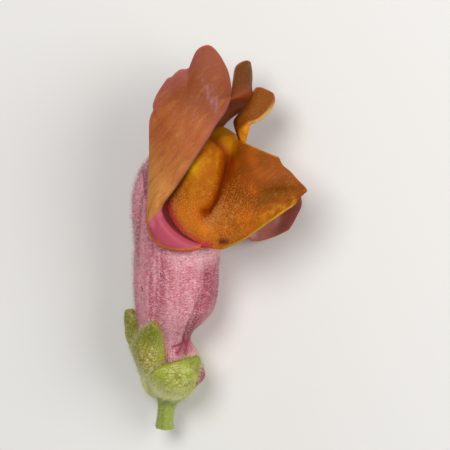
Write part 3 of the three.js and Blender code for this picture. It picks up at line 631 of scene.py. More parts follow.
lowerLip = {
    "wall": 0.32,
    # rails of each half, from the throat's border out to the tip of the side lobe
    "near": [
        [(-0.3, 19.4, 8), (-0.1, 20.6, 8.2), (0.6, 22.2, 8.5), (1.7, 24.2, 8.8), (2.8, 25.6, 8.7),
         (3.7, 26.3, 8.1)],
        [(0.9, 16.9, 8), (1, 18.6, 9), (1.5, 20.6, 9.8), (2.3, 22.4, 10.3), (3.1, 24.2, 10.3),
         (3.8, 25.3, 9.5), (4.3, 25.7, 8.5)],
        [(2.8, 15.5, 7.9), (2.9, 17.3, 9.1), (3.1, 19.2, 9.7), (3.85, 21.2, 10.1), (4.2, 23.2, 10.1),
         (4.4, 24.6, 9.5), (4.6, 25.6, 8.6)],
        [(3.6, 15.3, 8), (3.7, 16.6, 8.7), (3.3, 17.9, 8.8), (3.95, 19.6, 9.3), (4.5, 21.2, 9.6),
         (4.85, 23, 9.7), (4.95, 24.4, 9.3), (5.2, 25.6, 8.6)],
        [(4.3, 15.15, 8.3), (4.3, 16.6, 9), (3.75, 17.9, 8.3), (4.6, 19.5, 8.2), (5.2, 21, 8.3),
         (5.65, 22.6, 8.3), (6, 24.2, 8.4), (6.25, 25.5, 8.7)],
        [(5.3, 15.1, 8.8), (5.1, 16.5, 9.5), (4.75, 17.8, 9.2), (5.45, 19.3, 9.5), (5.9, 20.5, 9.8),
         (6.25, 21.7, 10), (6.65, 23.2, 10), (6.95, 24.9, 9.6), (7, 25.8, 9.3)],
        [(7, 15.8, 10), (7.2, 17.4, 11), (7.2, 19.2, 10.9), (7.6, 20.9, 10.9), (7.9, 22.5, 11),
         (8.1, 24, 10.7), (8.2, 25.3, 10.1)],
        [(9.5, 17.5, 11.1), (9.7, 18.9, 11.6), (9.9, 20.3, 11.2), (10.3, 21.4, 11.4), (10.3, 22.8, 11.3),
         (10, 24.5, 10.9)],
        [(12.4, 19.5, 11.6), (12.85, 20.2, 11.5), (13, 20.5, 11.4), (13.4, 20.6, 11.5), (13.6, 20.85, 11.6),
         (13.35, 21.25, 11.7), (12.7, 21.9, 11.7), (12, 22.7, 11.6), (11.2, 23.4, 11.4), (10.8, 24.2, 11.2)],
    ],
    "far": [
        [(1.9, 21, 2.6), (2.1, 22.6, 3), (2.7, 24.4, 3.8), (3.4, 26.1, 5.1), (3.9, 26.7, 6.5),
         (3.7, 26.3, 8.1)],
        [(3.4, 18.7, 2.2), (3.8, 20.6, 2.4), (4.2, 22.8, 2.9), (4.6, 24.9, 3.7), (4.9, 26.6, 4.9),
         (5, 27.2, 6.3), (4.3, 25.7, 8.5)],
        [(5.1, 17.2, 2.6), (5.3, 19.2, 2.8), (5.7, 21.4, 3.3), (6.2, 23.7, 4.2), (6.5, 25.6, 5.2),
         (6.3, 26.6, 6.4), (5.5, 26.4, 7.8), (4.6, 25.6, 8.6)],
        [(5.8, 16.9, 2.8), (5.6, 18.6, 3.7), (5.7, 20.6, 4.8), (6.2, 22.7, 5.6), (6.8, 24.6, 6.2),
         (6.9, 26, 7), (6.1, 26.2, 8), (5.2, 25.6, 8.6)],
        [(6.4, 17, 2.6), (6, 18.6, 4.2), (5.6, 20.2, 5.8), (5.9, 22, 6.6), (6.4, 23.8, 7.3),
         (6.9, 25.2, 7.9), (6.8, 25.8, 8.4), (6.25, 25.5, 8.7)],
        [(7, 16.7, 2.4), (7.1, 18.2, 2.9), (6.9, 19.6, 3.8), (7, 21, 4.8), (7.2, 22.5, 5.8), (7.4, 24, 6.9),
         (7.35, 25.2, 8.2), (7, 25.8, 9.3)],
        [(8.4, 15.8, 1.6), (8.6, 17.6, 1.3), (8.7, 19.4, 1.8), (8.7, 21.2, 3), (8.6, 22.8, 4.6),
         (8.4, 24.2, 6.4), (8, 25.3, 8.2)],
        [(10.3, 16.2, 1), (10.7, 17.6, 0.5), (10.9, 19.2, 0.8), (10.9, 20.8, 2), (10.6, 22.2, 3.4),
         (10, 23.4, 5), (9.4, 24.4, 6.6)],
        [(12, 17, 1.3), (12.5, 17.8, 1.3), (12.9, 18.6, 1.7), (13.25, 19.4, 2.3), (13.2, 20.3, 2.9),
         (12.7, 21.4, 3.8), (11.9, 22.5, 4.8), (11.1, 23.3, 5.6)],
    ],
    "throatStart": 72,
    "throatTurn": 106,
    "throat": [(3.3, 15.9, 7.3), (2.3, 17.6, 6.4), (2.2, 20.2, 6), (3, 22.6, 6.4), (3.5, 23.6, 6.6),
               (3.7, 22.8, 5), (3.6, 20.8, 4.2), (4.2, 18.8, 3.2), (5.4, 17.4, 2.9)],
    # lines and spots as seen from the near side, across and up
    "crease": [(12.6, 20.9), (10, 20.9), (9, 20.6), (8.2, 20), (7.5, 19.6)],
    "shade": [(12.2, 21), (11, 20.9), (9.8, 20.4), (8.8, 19.6)],
    "sheenLine": [(12.6, 19.9), (11.4, 19.5), (10.2, 18.9), (9, 18.2)],
    "cleftLine": [(3.3, 18.5), (4.1, 18.9), (4.6, 19.8), (5.15, 21.2), (5.45, 22.4), (5.75, 23.4), (6, 24.3)],
    "humpSide": [(3.2, 19.2), (4.25, 19.7), (4.9, 21), (5.2, 22.6), (5.22, 24), (4.96, 24.75), (4.5, 25.3),
                 (4, 25.65), (3.4, 25.85), (2.4, 26)],
    "palateEdge": [(-0.3, 20.3), (-0.1, 19.4), (0.3, 18), (1.3, 16.6), (2.5, 15.75), (3.8, 15.35)],
    "pit": (3.45, 18.55),
    # painted glints: small pale dots on the side lobe
    "glintDots": [(6.3, 18.25), (5.7, 17.3), (6.75, 19.4)],
    "middle": [
        [(7, 25.3, 8.1), (6.8, 26.1, 8.6), (6.5, 27, 8.3), (6.35, 27.8, 7.8), (6.8, 28.5, 7.3),
         (7.3, 29.2, 6.9), (8, 30.4, 6.5), (8.6, 31.25, 6.3)],
        [(7.1, 25.3, 8.5), (7.1, 26.2, 9.2), (7, 27.1, 9.1), (7.15, 27.8, 8.7), (7.6, 28.5, 8.2),
         (8.3, 29.4, 7.5), (8.9, 30.4, 6.9), (9.15, 31.25, 6.4)],
        [(7.25, 25.3, 8.6), (7.4, 26.2, 9.4), (7.5, 27.1, 9.6), (7.8, 27.7, 9.3), (8.6, 28.3, 8.5),
         (9.3, 29.1, 7.6), (9.75, 30.1, 7), (9.85, 30.95, 6.6)],
        [(7.4, 25.3, 8.5), (7.65, 26.1, 9.2), (7.9, 26.9, 9.4), (8.05, 27.45, 9.5), (9, 27.85, 9),
         (10, 28.8, 8.1), (10.5, 29.9, 7.4), (10.35, 30.65, 7)],
    ],
    "rows": 44,
    # columns between each rail and the next
    "gaps": [7, 8, 6, 5, 7, 8, 9, 11],
    "middleGaps": [8, 8, 8],
    "spot": (5.4, 15.95),
    "pitEdge": [(3.8, 17.3), (4.5, 17.8), (5.1, 18.8)],
}
lowerColours = upperColours | palette(
    yellow=(212, 150, 0), ochre=(172, 92, 0), bright=(255, 208, 0), orange=(184, 90, 0),
    warm=(214, 118, 8), leather=(148, 66, 0), deep=(132, 48, 0), salmon=(152, 80, 30),
    olive=(112, 66, 0), valley=(190, 118, 0), cleft=(146, 54, 0), gold=(222, 160, 30),
    margin=(214, 168, 40), redEdge=(206, 58, 66), pit=(168, 56, 0), mauve=(140, 84, 66),
    bronze=(134, 74, 18), neck=(216, 134, 18), darkRed=(104, 30, 16), cream=(206, 166, 92),
    spot=(104, 20, 34), dot=(244, 190, 110), farRim=(140, 60, 66))


def tipEdge(along, across):
    # distance to the two long sides and to the tip
    return np.minimum(np.minimum(across, across[:, -1:] - across), along[-1:] - along)


def lowerGrain(net, side):
    along, across = sideLengths(net)
    return np.stack([along, across * 0.8, side * 3 + 0 * along], axis=-1)


def lowerSheet(name, net, paint, back, edge, mottle, fuzz, grain):
    return sheetPiece(name, net, paint=paint, back=back, grain=grain, mottle=mottle,
                      thin=0.45 + 0.55 * smooth(edge, 0, 0.7), fuzz=fuzz)


def freeEdge(net, firstFree, lastFree):
    # distance to the free border: the tip's column, the lower row from firstFree, the upper from lastFree
    along, across = sideLengths(net)
    lower = np.where(columnsOf(net) >= firstFree, along, 9)
    upper = np.where(columnsOf(net) > lastFree, along[-1:] - along, 9)
    return np.minimum(across[:, -1:] - across, np.minimum(lower, upper)), lower


def shapedNear(near, midline):
    # small swells and the side lobe's crease, faded out where other sheets join
    lobe = smooth(columnsOf(near), midline - 6, midline + 1)
    normals = netNormals(near)
    up = np.sign((normals * [0.34, 0, 0.94]).sum(-1))[..., None] * normals
    relief = 0.14 * roughly(near, 2.4, 1) * lobe + 0.05 * roughly(near, 0.9, 3)
    relief = relief - 0.16 * nearLine(near, lowerLip["crease"], 0.4) * lobe
    relief = relief - 0.15 * nearLine(near, lowerLip["cleftLine"], 0.35)
    relief = relief - 0.3 * nearSpot(near, lowerLip["pit"], 0.6)
    row = np.arange(near.shape[0])[:, None]
    still = smooth(sideLengths(near)[1], 0, 0.6) * smooth(row, 0, 6) * smooth(row, lowerLip["rows"], 33)
    return near + up * (relief * still)[..., None]


def valleyCoats(net, share):
    # golden behind the near hump, with a brown shadow close round it
    outside = besideLine(net, lowerLip["humpSide"])
    share = share * smooth(outside, 0, 0.15)
    shadow = share * smooth(outside, 1.1, 0.3) * smooth(net[..., 1], 21.5, 23.5)
    return [("valley", share * smooth(net[..., 1], 24, 25) * 0.8), ("deep", shadow * 0.85)]


def nearLower(near, hinge, midline, cleft):
    # hump, cleft and side lobe, seen from the near side
    x, y, column = near[..., 0], near[..., 1], columnsOf(near)
    edge, lower = freeEdge(near, hinge + 8, midline)
    lobe = smooth(column, midline - 2, midline)
    patches, mottles = roughly(near, 1.3, 6), roughly(near, 0.5, 2)
    fromSide, fromRim = (np.abs(besideLine(near, lowerLip[line])) for line in ("humpSide", "palateEdge"))
    # shadedCleft: the band between the hump and the side lobe, painted as shade
    shadedCleft = smooth(column, cleft - 6, cleft - 1) * smooth(column, midline + 1, midline - 2)
    along = sideLengths(near)[0]
    upperRim = smooth(along[-1:] - along, 0.22, 0.06) * smooth(column, midline, midline + 4)
    spotX = lowerLip["spot"][0]
    spot = nearSpot(np.dstack([spotX + (x - spotX) * 0.6, y]), lowerLip["spot"], 0.36)
    spot = smooth(spot, 0.2, 0.7)
    paint = coats(near, lowerColours, "ochre", [
        ("yellow", nearSpot(near, (2.3, 23.5), 1.4) * 0.55),
        # painted highlight on the near hump's rounded top, over its yellow
        ("bright", nearSpot(near, (2, 23.4), 0.75) * 0.95),
        ("orange", smooth(mottles, 0, 0.4) * 0.5),
        ("yellow", smooth(mottles, -0.1, -0.4) * smooth(y, 19, 21) * 0.35),
        ("warm", smooth(y, 20.6, 18.4) * 0.9),
        # painted shade along the near hump's side, where it drops into the cleft
        ("orange", smooth(fromSide, 0.5, 0) * 0.6),
        # painted shade in the cleft, low and high
        ("pit", shadedCleft * smooth(y, 17.8, 19) * 0.65),
        ("cleft", shadedCleft * smooth(y, 21.5, 23.5) * 0.5),
        *valleyCoats(near, smooth(column, midline + 1, midline - 2) * smooth(x, 3, 3.8)),
        ("leather", lobe),
        ("warm", lobe * nearSpot(near, (5.2, 17.2), 1.8) * 0.7),
        ("orange", lobe * smooth(y, 20.5, 17.5) * 0.8),
        ("warm", lobe * smooth(y, 19.5, 17) * 0.4),
        ("orange", lobe * smooth(patches, -0.1, 0.5) * 0.6),
        ("salmon", lobe * nearSpot(near, (11.4, 22.8), 2.6) * 0.85),
        ("olive", lobe * smooth(patches, 0.1, -0.4) * 0.35),
        ("olive", nearLine(near, lowerLip["shade"], 0.7) * lobe * 0.6),
        ("gold", nearLine(near, lowerLip["sheenLine"], 0.5) * lobe * smooth(mottles, -0.2, 0.4) * 0.5),
        ("pit", np.clip(nearSpot(near, lowerLip["pit"], 0.85) * 1.3, 0, 1) * 0.75),
        # painted shade along the cleft's floor
        ("deep", nearLine(near, lowerLip["cleftLine"], 0.3) * 0.4),
        ("margin", smooth(lower, 0.5, 0.2) * smooth(x, 4.4, 6.2) * 0.9),
        ("gold", upperRim * 0.7),
        ("redEdge", smooth(fromRim + 0.2 * mottles, 1, 0.35) * (1 - lobe) * 0.9),
        ("spot", spot * 0.9),
        # painted glints
        *[("dot", nearSpot(near, dot, 0.13) * 0.8) for dot in lowerLip["glintDots"]]])
    fuzz = (smooth(edge, 0.3, 1.2) * (1 - nearLine(near, lowerLip["cleftLine"], 0.5))
            * smooth(fromSide + 9 * lobe, 0.2, 0.9) * smooth(fromRim, 0.2, 0.8) * (1 - spot))
    return lowerSheet("lowerLip", near, paint, coats(near, lowerColours, "mauve"), edge,
                      lobe * smooth(y, 23.5, 18.5), fuzz, lowerGrain(near, 1))


def farLower(far, hinge, midline, cleft, nearGrain):
    y, column = far[..., 1], columnsOf(far)
    edge, lower = freeEdge(far, hinge + 8, midline)
    lobe = smooth(column, midline - 6, midline + 1)
    paint = coats(far, lowerColours, "ochre", [
        ("yellow", nearSpot(far, (5.2, 26.6), 1.3) * 0.6),
        # painted highlight on the far hump's top
        ("bright", nearSpot(far, (5.6, 26.7), 0.9) * 0.25),
        # painted shade in the cleft on the far sheet
        ("deep", bell(column, cleft, 6, 4) * smooth(y, 25.3, 24) * 0.8),
        *valleyCoats(far, smooth(column, midline + 1, midline - 2) * smooth(far[..., 2], 5, 6.5)),
        ("orange", lobe * smooth(y, 25, 23)),
        ("gold", smooth(lower, 0.75, 0.1) * 0.7)])
    back = coats(far, lowerColours, "mauve", [
        ("pale", smooth(roughly(far, 2, 4), 0, 0.5) * 0.4),
        ("farRim", smooth(edge, 0.25, 0.05) * 0.7)])
    grain = lowerGrain(far, 2)
    nearShare = smooth(np.arange(far.shape[0]), 20, lowerLip["rows"])[:, None, None]
    grain = grain + (nearGrain - grain[-1]) * nearShare
    return lowerSheet("farLower", far, paint, back, edge, lobe, smooth(edge, 0.3, 1.5) * 0.6, grain)


def buildLowerLip():
    rows, gaps = lowerLip["rows"], lowerLip["gaps"]
    near, far = (netThrough(lowerLip[half], rows, gaps) for half in ("near", "far"))
    hinge, cleft, midline = sum(gaps[:3]), sum(gaps[:4]) - 1, sum(gaps[:5])
    # both humps meet along one line, and the far one bends to it over its last rows
    joined = smooth(np.arange(near.shape[1]), midline + 5, midline)[:, None]
    shift = (near[-1] - far[-1]) * joined
    far = far + shift * smooth(np.arange(rows + 1), 26, rows)[:, None, None]
    far[-1, :midline + 1] = near[-1, :midline + 1]
    near = shapedNear(near, midline)
    border = np.concatenate([near[0, hinge:0:-1], near[:, 0], far[-2::-1, 0], far[0, 1:hinge + 1]])
    places = lengthShares(border)
    rim = tucked(lowerLip["throatStart"] - lowerLip["throatTurn"] * places)
    throat = curveAt(np.array([rim, evenCurve(lowerLip["throat"], places), border]), np.linspace(0, 1, 19))
    throat = throat.transpose(1, 0, 2)
    deep = np.linspace(0, 1, throat.shape[1])[None, :] + 0 * throat[..., 0]
    paint = coats(throat, lowerColours, "maroon", [("redEdge", smooth(deep, 0.8, 1) * 0.6)])
    back = coats(throat, lowerColours, "pink", [("pale", smooth(deep, 0.5, 0) * 0.6)])
    return weld(
        nearLower(near, hinge, midline, cleft),
        farLower(far, hinge, midline, cleft, lowerGrain(near, 1)[-1]),
        lowerSheet("throat", throat, paint, back, deep * 0 + 9, deep * 0, deep * 0 + 0.5,
                   lowerGrain(throat, 3)),
        facing=((3, 22, 10.3), (0, 0, 1)))


def buildMiddleLobe():
    net = netThrough(lowerLip["middle"], lowerLip["rows"], lowerLip["middleGaps"])
    x, y = net[..., 0], net[..., 1]
    along, across = sideLengths(net)
    edge = tipEdge(along, across)
    net = net + netNormals(net) * (0.07 * roughly(net, 1.4, 2) * smooth(edge, 0, 0.4))[..., None]
    paint = coats(net, lowerColours, "bronze", [
        ("leather", smooth(y, 28.6, 27.4) * 0.6),
        ("neck", smooth(y - 27 - 0.75 * (x - 7.15), 0.25, -0.2) * smooth(x, 6.85, 7.1) * smooth(x, 8.3, 7.9)),
        ("darkRed", smooth(across, 0.75, 0.45) * smooth(y, 28.8, 28) * 0.9),
        ("edge", smooth(edge, 0.2, 0.05) * smooth(y, 28, 29) * 0.7),
        # painted highlight along the rolled-up right edge, in cream
        ("cream", smooth(across[:, -1:] - across, 0.4, 0.22) * smooth(y, 27.3, 27.7)
         * smooth(y, 30, 28.8) * 0.8)])
    back = coats(net, lowerColours, "darkRed", [("mauve", smooth(y, 28, 30) * 0.7)])
    piece = lowerSheet("middleLobe", net, paint, back, edge, smooth(y, 30, 27), edge * 0 + 0.4,
                       lowerGrain(net, 4))
    return weld(piece, facing=((9.3, 29.2, 7.6), (0, 0, 1)))


calyx = {
    "wall": 0.55,
    # three rails to a sepal, in degrees round the tube, height and stand-off from the tube
    "sepals": [
        [[(165, 0.6, 0.8), (157, 2.2, 0.7), (155, 4.2, 0.55), (156, 6.2, 0.4), (161, 7.8, 0.35),
          (168, 8.9, 0.5)],
         [(180, 0.5, 0.8), (182, 2.4, 0.9), (183, 4.4, 0.9), (182, 6.4, 0.95), (178, 8.1, 0.8),
          (170, 9, 0.7)],
         [(200, 0.6, 0.8), (212, 2.2, 0.8), (218, 4.2, 0.8), (214, 6.2, 0.75), (196, 8, 0.7),
          (175, 8.9, 0.7)]],
        [[(150, 0.8, 0.8), (161, 2.4, 0.95), (164, 4, 1.15), (155, 5.6, 1.15), (135, 6.9, 0.95),
          (115, 7.7, 0.7)],
         [(135, 0.6, 0.7), (134, 2.4, 0.95), (130, 4.2, 1.2), (124, 5.8, 1.15), (118, 7, 0.95),
          (113, 7.85, 0.7)],
         [(120, 0.8, 0.6), (112, 2.4, 0.7), (93, 4.2, 0.95), (90, 5.6, 0.95), (102, 6.9, 0.85),
          (111.5, 7.7, 0.7)]],
        [[(148, 0.9, 1), (142, 1.8, 1.35), (134, 2.4, 1.55), (114, 3.1, 1.5), (88, 3.65, 1.3), (60, 4.05, 1),
          (41, 4.2, 0.8)],
         [(106, 0.45, 0.9), (100, 1.2, 1.2), (88, 2, 1.4), (70, 2.8, 1.4), (52, 3.5, 1.1), (36, 4.15, 0.8)],
         [(62, 0.5, 0.8), (57, 1.2, 0.9), (51, 2.3, 1), (40, 3.3, 0.9), (33, 4, 0.75)]],
        [[(222, 0.6, 0.8), (222, 2, 0.9), (226, 4, 0.9), (234, 5.8, 0.85), (246, 7, 0.7)],
         [(245, 0.5, 0.8), (247, 2.2, 1.1), (250, 4.2, 1.3), (253, 6, 1), (256, 7.4, 0.7)],
         [(268, 0.6, 0.8), (276, 2, 0.9), (279, 4, 0.9), (276, 5.8, 0.85), (265, 7, 0.7)]],
        [[(280, 0.6, 0.7), (277, 1.6, 0.8), (279, 3, 0.8), (285, 4.4, 0.75), (296, 5.3, 0.6)],
         [(300, 0.5, 0.7), (299, 1.6, 0.75), (299, 3, 0.75), (299, 4.4, 0.65), (300, 5.6, 0.6)],
         [(319, 0.6, 0.6), (318, 1.6, 0.55), (316, 3, 0.5), (311, 4.4, 0.5), (303, 5.2, 0.55)]],
    ],
    "tuck": 0.55,
    "rows": 120,
    "columns": [26, 26],
    "bubbles": 0.2,
    "bubbleHeight": 0.06,
    # how yellow, fresh and brown each sepal is, and how red its margin
    "tints": [(0.95, 0.1, 0.6, 0.25), (0.15, 0.15, 0.75, 0.9), (0.3, 0.75, 0.1, 0.9), (0.2, 0.5, 0.3, 0.6),
              (0.2, 0.6, 0.2, 0.6)],
    "stalk": [(-0.7, -3.2, -1.2), (-0.55, -1.7, -0.8), (-0.4, -0.7, -0.6), (-0.25, 0.1, -0.45),
              (-0.05, 0.8, -0.3), (0.2, 1.5, -0.1)],
    "stalkRadii": [0.92, 0.86, 0.98, 1.6, 2.05, 2.2],
    "stalkNet": (40, 48),
}
greens = palette(
    leaf=(148, 144, 30), yellow=(196, 172, 62), fresh=(168, 184, 50), pale=(214, 214, 136),
    base=(248, 248, 170), glint=(250, 248, 206), olive=(96, 90, 10), tip=(108, 112, 8),
    brown=(162, 122, 52), margin=(164, 66, 56), stalk=(146, 160, 72), cut=(196, 204, 140))


def bubbly(net, size):
    # rounded cells, 1 on their tops and 0 between them
    away = np.array([noise.voronoi(Vector(p))[0][0] for p in net.reshape(-1, 3) / size])
    return 1 - smooth(away.reshape(net.shape[:2]), 0, 0.75)


def buildSepal(number):
    tuck = calyx["tuck"]
    rails = [[(rail[0][0], rail[0][1] - tuck, rail[0][2] - tuck), *rail] for rail in calyx["sepals"][number]]
    net = netThrough([besideTube(*np.array(rail).T) for rail in rails], calyx["rows"], calyx["columns"])
    along, across = sideLengths(net)
    edge, share = tipEdge(along, across), along / along[-1:]
    axis = np.stack([0.2 + 0 * share, net[..., 1], tube["lean"] * (net[..., 1] - 2)], axis=-1)
    outward = netNormals(net)
    outward = outward * np.sign((outward * (net - axis)).sum(-1))[..., None]
    bubbles = bubbly(net, calyx["bubbles"]) * smooth(edge, 0.1, 0.5)
    wide = across / np.maximum(across[:, -1:], 1e-6)
    relief = (0.1 * roughly(net, 1.3, number) + 0.05 * bell(wide, 0.5, 0.08) + calyx["bubbleHeight"] * bubbles
              + 0.3 * (1 - (2 * wide - 1) ** 2) - 0.25 * smooth(edge, 0.45, 0))
    net = net + outward * (relief * smooth(share, 0, 0.2))[..., None]
    yellow, fresh, brown, red = calyx["tints"][number]
    patches = roughly(net, 1.2, number + 8)
    centre = np.exp(-((wide - 0.6) / 0.25) ** 2 - ((share - 0.45) / 0.25) ** 2)
    bumpy = smooth(edge, 0.2, 0.8) * smooth(share, 0.9, 0.6)
    glints = smooth(bubbles, 0.8, 0.97) * bumpy * smooth(roughly(net, 0.35, 4), -0.2, 0.3)
    paint = coats(net, greens, "leaf", [
        ("yellow", smooth(patches, -0.3, 0.4) * yellow),
        ("fresh", smooth(patches, -0.6, 0.2) * fresh),
        ("brown", centre * brown),
        # pale at the base: its own tone, partly painted light against the shade where the calyx turns away
        ("base", smooth(share, 0.5, 0.2) * 0.95),
        ("tip", smooth(share, 0.6, 0.95) * 0.75),
        # painted shade between the bubbles
        ("olive", (1 - bubbles) * (0.05 + 0.35 * bumpy * smooth(share, 0.1, 0.4))),
        # painted reflections on the bubbles' tops
        ("pale", bubbles * bumpy * (0.3 + 0.65 * centre)),
        ("glint", glints * (0.4 + 0.45 * centre)),
        ("margin", smooth(edge, 0.3, 0.12) * smooth(share, 0.1, 0.3) * red)])
    piece = sheetPiece(
        "sepal%d" % (number + 1), net, paint=paint,
        grain=np.stack([along, across, number * 5 + 0 * along], axis=-1),
        thin=0.15 + 0.85 * smooth(edge, 0, 0.55),
        fuzz=smooth(share, 0.02, 0.1) * (0.35 + smooth(edge, 1.2, 0.2)))
    middle = (calyx["rows"] // 2, calyx["columns"][0])
    return weld(piece, facing=(net[middle], outward[middle]))


def roundNet(points, radii, rows, columns):
    # rings round a curved path, with the first and last ring closed by its own cap of rings
    places = np.linspace(0, 1, rows + 1)
    path, size = curveAt(points, places), curveAt(np.array(radii, float)[:, None], places)[:, 0]
    ahead = np.gradient(path, axis=0)
    ahead /= np.linalg.norm(ahead, axis=1, keepdims=True)
    side = np.cross(ahead, [0.9, 0.1, -0.35])
    side /= np.linalg.norm(side, axis=1, keepdims=True)
    path, side, up = (np.concatenate([a[:1]] * 3 + [a[1:-1]] + [a[-1:]] * 3)
                      for a in (path, side, np.cross(ahead, side)))
    size = np.concatenate([[0, size[0] * 0.94, size[0]], size[1:-1], [size[-1], size[-1] * 0.94, 0]])
    turn = np.linspace(0, 2 * np.pi, columns + 1)[None, :, None]
    return path[:, None] + size[:, None, None] * (np.cos(turn) * side[:, None] + np.sin(turn) * up[:, None])


def roundPiece(name, net, **values):
    # a closed round piece of one skin
    weld(sheetPiece(name, net, grain=net, **values))
    bpy.ops.object.shade_smooth_by_angle(angle=math.radians(50))
    return justMade(name)


def buildStalk():
    net = roundNet(calyx["stalk"], calyx["stalkRadii"], *calyx["stalkNet"])
    turn = np.linspace(0, 2 * np.pi, net.shape[1])[None, :]
    grooves = 1 + 0.05 * np.cos(turn * 7) + 0.04 * roughly(net, 0.9)
    centre = net.mean(axis=1, keepdims=True)
    net = centre + (net - centre) * grooves[..., None]
    y = net[..., 1]
    cut = np.zeros(y.shape)
    cut[:2] = 1
    paint = coats(net, greens, "stalk", [("cut", cut), ("pale", smooth(y, -0.6, 0.6) * 0.5)])
    return roundPiece("stalk", net, paint=paint, fuzz=smooth(y, -3.15, -2.9))


insides = {
    # degrees round the tube, height and stand-off from its outer face
    "stamens": [
        [(150, 4.5, -1.32), (150, 5.8, -1.32), (148, 9, -1.5), (140, 14, -1.8), (131, 19.3, -1.9)],
        [(235, 4.5, -1.32), (235, 5.8, -1.32), (240, 9, -1.5), (245, 14, -1.8), (242, 19.6, -1.9)],
        [(62, 4.5, -1.32), (62, 5.8, -1.32), (75, 8, -1.5), (95, 11.5, -1.7), (105, 15.8, -1.6)],
        [(325, 4.5, -1.32), (325, 5.8, -1.32), (315, 8, -1.5), (297, 11.5, -1.7), (285, 16, -1.6)],
    ],
    "filament": 0.24,
    "style": [(0.45, 3.3, 0.35), (-0.35, 5.2, 0.87), (-0.5, 6.6, 1.25), (0.1, 9, 1.9), (-0.3, 15, 3.6),
              (-0.9, 19.6, 4.7)],
    "styleRadius": 0.26,
    "ovary": (0.66, 2.75, 0.2),
    "ovaryRadii": (0.95, 1.15, 0.9),
    "stigmaRadii": (0.48, 0.42, 0.48),
    "antherRadii": (0.42, 0.72, 0.48),
    "seat": [(0.35, 1.15, -0.1), (0.5, 1.7, 0), (0.62, 2.3, 0.12)],
    "seatRadii": [0.55, 0.7],
    # rows and columns of each rod
    "stamenNet": (50, 14),
    "styleNet": (60, 14),
    "seatNet": (8, 20),
}
insideColours = palette(
    filament=(236, 214, 160), anther=(232, 186, 48), ovary=(150, 168, 84), style=(206, 196, 142),
    shade=(110, 96, 40))


def eggPiece(name, centre, radii, colour, dent=0):
    deselectAll()
    bpy.ops.mesh.primitive_uv_sphere_add(segments=28, ring_count=18, radius=1)
    piece = justMade(name)
    places = readPlaces(piece.data)
    seam = 1 - dent * np.exp(-(places[:, 0] / 0.22) ** 2) * (places[:, 2] > -0.2)
    lumps = np.array([1 + 0.05 * noise.noise(Vector(p * 2.3)) for p in places])
    shaped = places * np.array(radii) * (seam * lumps)[:, None] + np.array(centre)
    setShape(piece, shaped, {"grain": shaped, "paint": coats(shaped, insideColours, colour)})
    bpy.ops.object.shade_smooth()
    return piece


def rodPiece(name, path, radii, size, colour):
    net = roundNet(path, radii, *size)
    return roundPiece(name, net, paint=coats(net, insideColours, colour))


def buildStamen(number):
    path = [onTube(*place) for place in insides["stamens"][number]]
    x, y, z = path[-1]
    filament = rodPiece("stamen%d" % (number + 1), path, [insides["filament"]] * 2, insides["stamenNet"],
                        "filament")
    lobes = [eggPiece("anther", (x + side * 0.6, y + 0.2, z + side), insides["antherRadii"], "anther",
                      dent=0.16) for side in (-0.4, 0.4)]
    return join(filament, *lobes)


def buildPistil():
    radii = [insides["styleRadius"]] * 2
    return join(rodPiece("pistil", insides["style"], radii, insides["styleNet"], "style"),
                eggPiece("ovary", insides["ovary"], insides["ovaryRadii"], "ovary"),
                eggPiece("stigma", insides["style"][-1], insides["stigmaRadii"], "ovary", dent=0.1),
                rodPiece("seat", insides["seat"], insides["seatRadii"], insides["seatNet"], "ovary"))


hairForms = {
    # heights of a hair's rings and their widths, as shares of its length and its root
    "short": ([0, 1], [1, 0]),
    "soft": ([0, 0.5, 1], [1, 0.75, 0]),
    "headed": ([0, 0.5, 0.83, 0.92, 1], [1, 0.6, 0.5, 1.7, 0]),
}
usualHair = {
    # in millimetres; stand is how upright the hairs are, lean the way they lie in the flower's frame,
    # sweep how far they turn round the flower's long axis, and lift how far their roots stand out
    "form": "soft",
    "stand": 1,
    "lean": (0, 0, 0),
    "sweep": 0,
    "loose": 0.28,
    "bend": 0.3,
    "lift": 0.15,
}
hairLooks = {
    "tubeDown": {"form": "short", "count": 13000, "length": 0.27, "width": 0.038, "stand": 0.2, "sweep": 1,
                 "lean": (0, -0.12, 0), "loose": 0.14, "bend": 0.2, "lift": 0.16},
    "tubeHairs": {"count": 5200, "length": 0.42, "width": 0.03, "lean": (0, -0.1, 0)},
    "hoodHairs": {"count": 6500, "length": 0.32, "width": 0.034, "lean": (0, 0.1, 0)},
    "palateFuzz": {"form": "short", "count": 8000, "length": 0.15, "width": 0.044, "loose": 0.4,
                   "lift": 0.16},
    "throatHairs": {"count": 3600, "length": 0.32, "width": 0.034, "lean": (0, 0.1, 0)},
    "pitHairs": {"count": 260, "length": 0.36, "width": 0.022, "loose": 0.25, "lift": 0.16, "stand": 0.7,
                 "lean": (-0.5, 0.35, 0)},
    "sepalHairs": {"form": "headed", "count": 900, "length": 0.37, "width": 0.024, "lean": (0, 0.2, 0),
                   "lift": 0.25},
    "stalkHairs": {"form": "headed", "count": 1000, "length": 0.36, "width": 0.024, "lean": (0, -0.1, 0),
                   "lift": 0},
}


def hairCopies(name, form, count):
    # one hair, cut from a cone and ringed, and repeated in one mesh
    heights, widths = hairForms[form]
    deselectAll()
    bpy.ops.mesh.primitive_cone_add(vertices=3, radius1=1, radius2=0, depth=1, end_fill_type="NOTHING",
                                    location=(0, 0, 0.5))
    piece = justMade(name)
    bpy.ops.object.transform_apply(location=True)
    bpy.ops.object.mode_set(mode="EDIT")
    for height in heights[1:-1]:
        bpy.ops.mesh.select_all(action="SELECT")
        bpy.ops.mesh.bisect(plane_co=(0, 0, height), plane_no=(0, 0, 1))
    bpy.ops.object.mode_set(mode="OBJECT")
    shape = readPlaces(piece.data)
    shape[:, :2] *= (np.interp(shape[:, 2], heights, widths) / np.maximum(1 - shape[:, 2], 1e-6))[:, None]
    applyModifier(piece, "ARRAY", count=count)
    bpy.ops.object.shade_smooth()
    return piece, shape


def unit(ways):
    return ways / np.linalg.norm(ways, axis=1, keepdims=True)


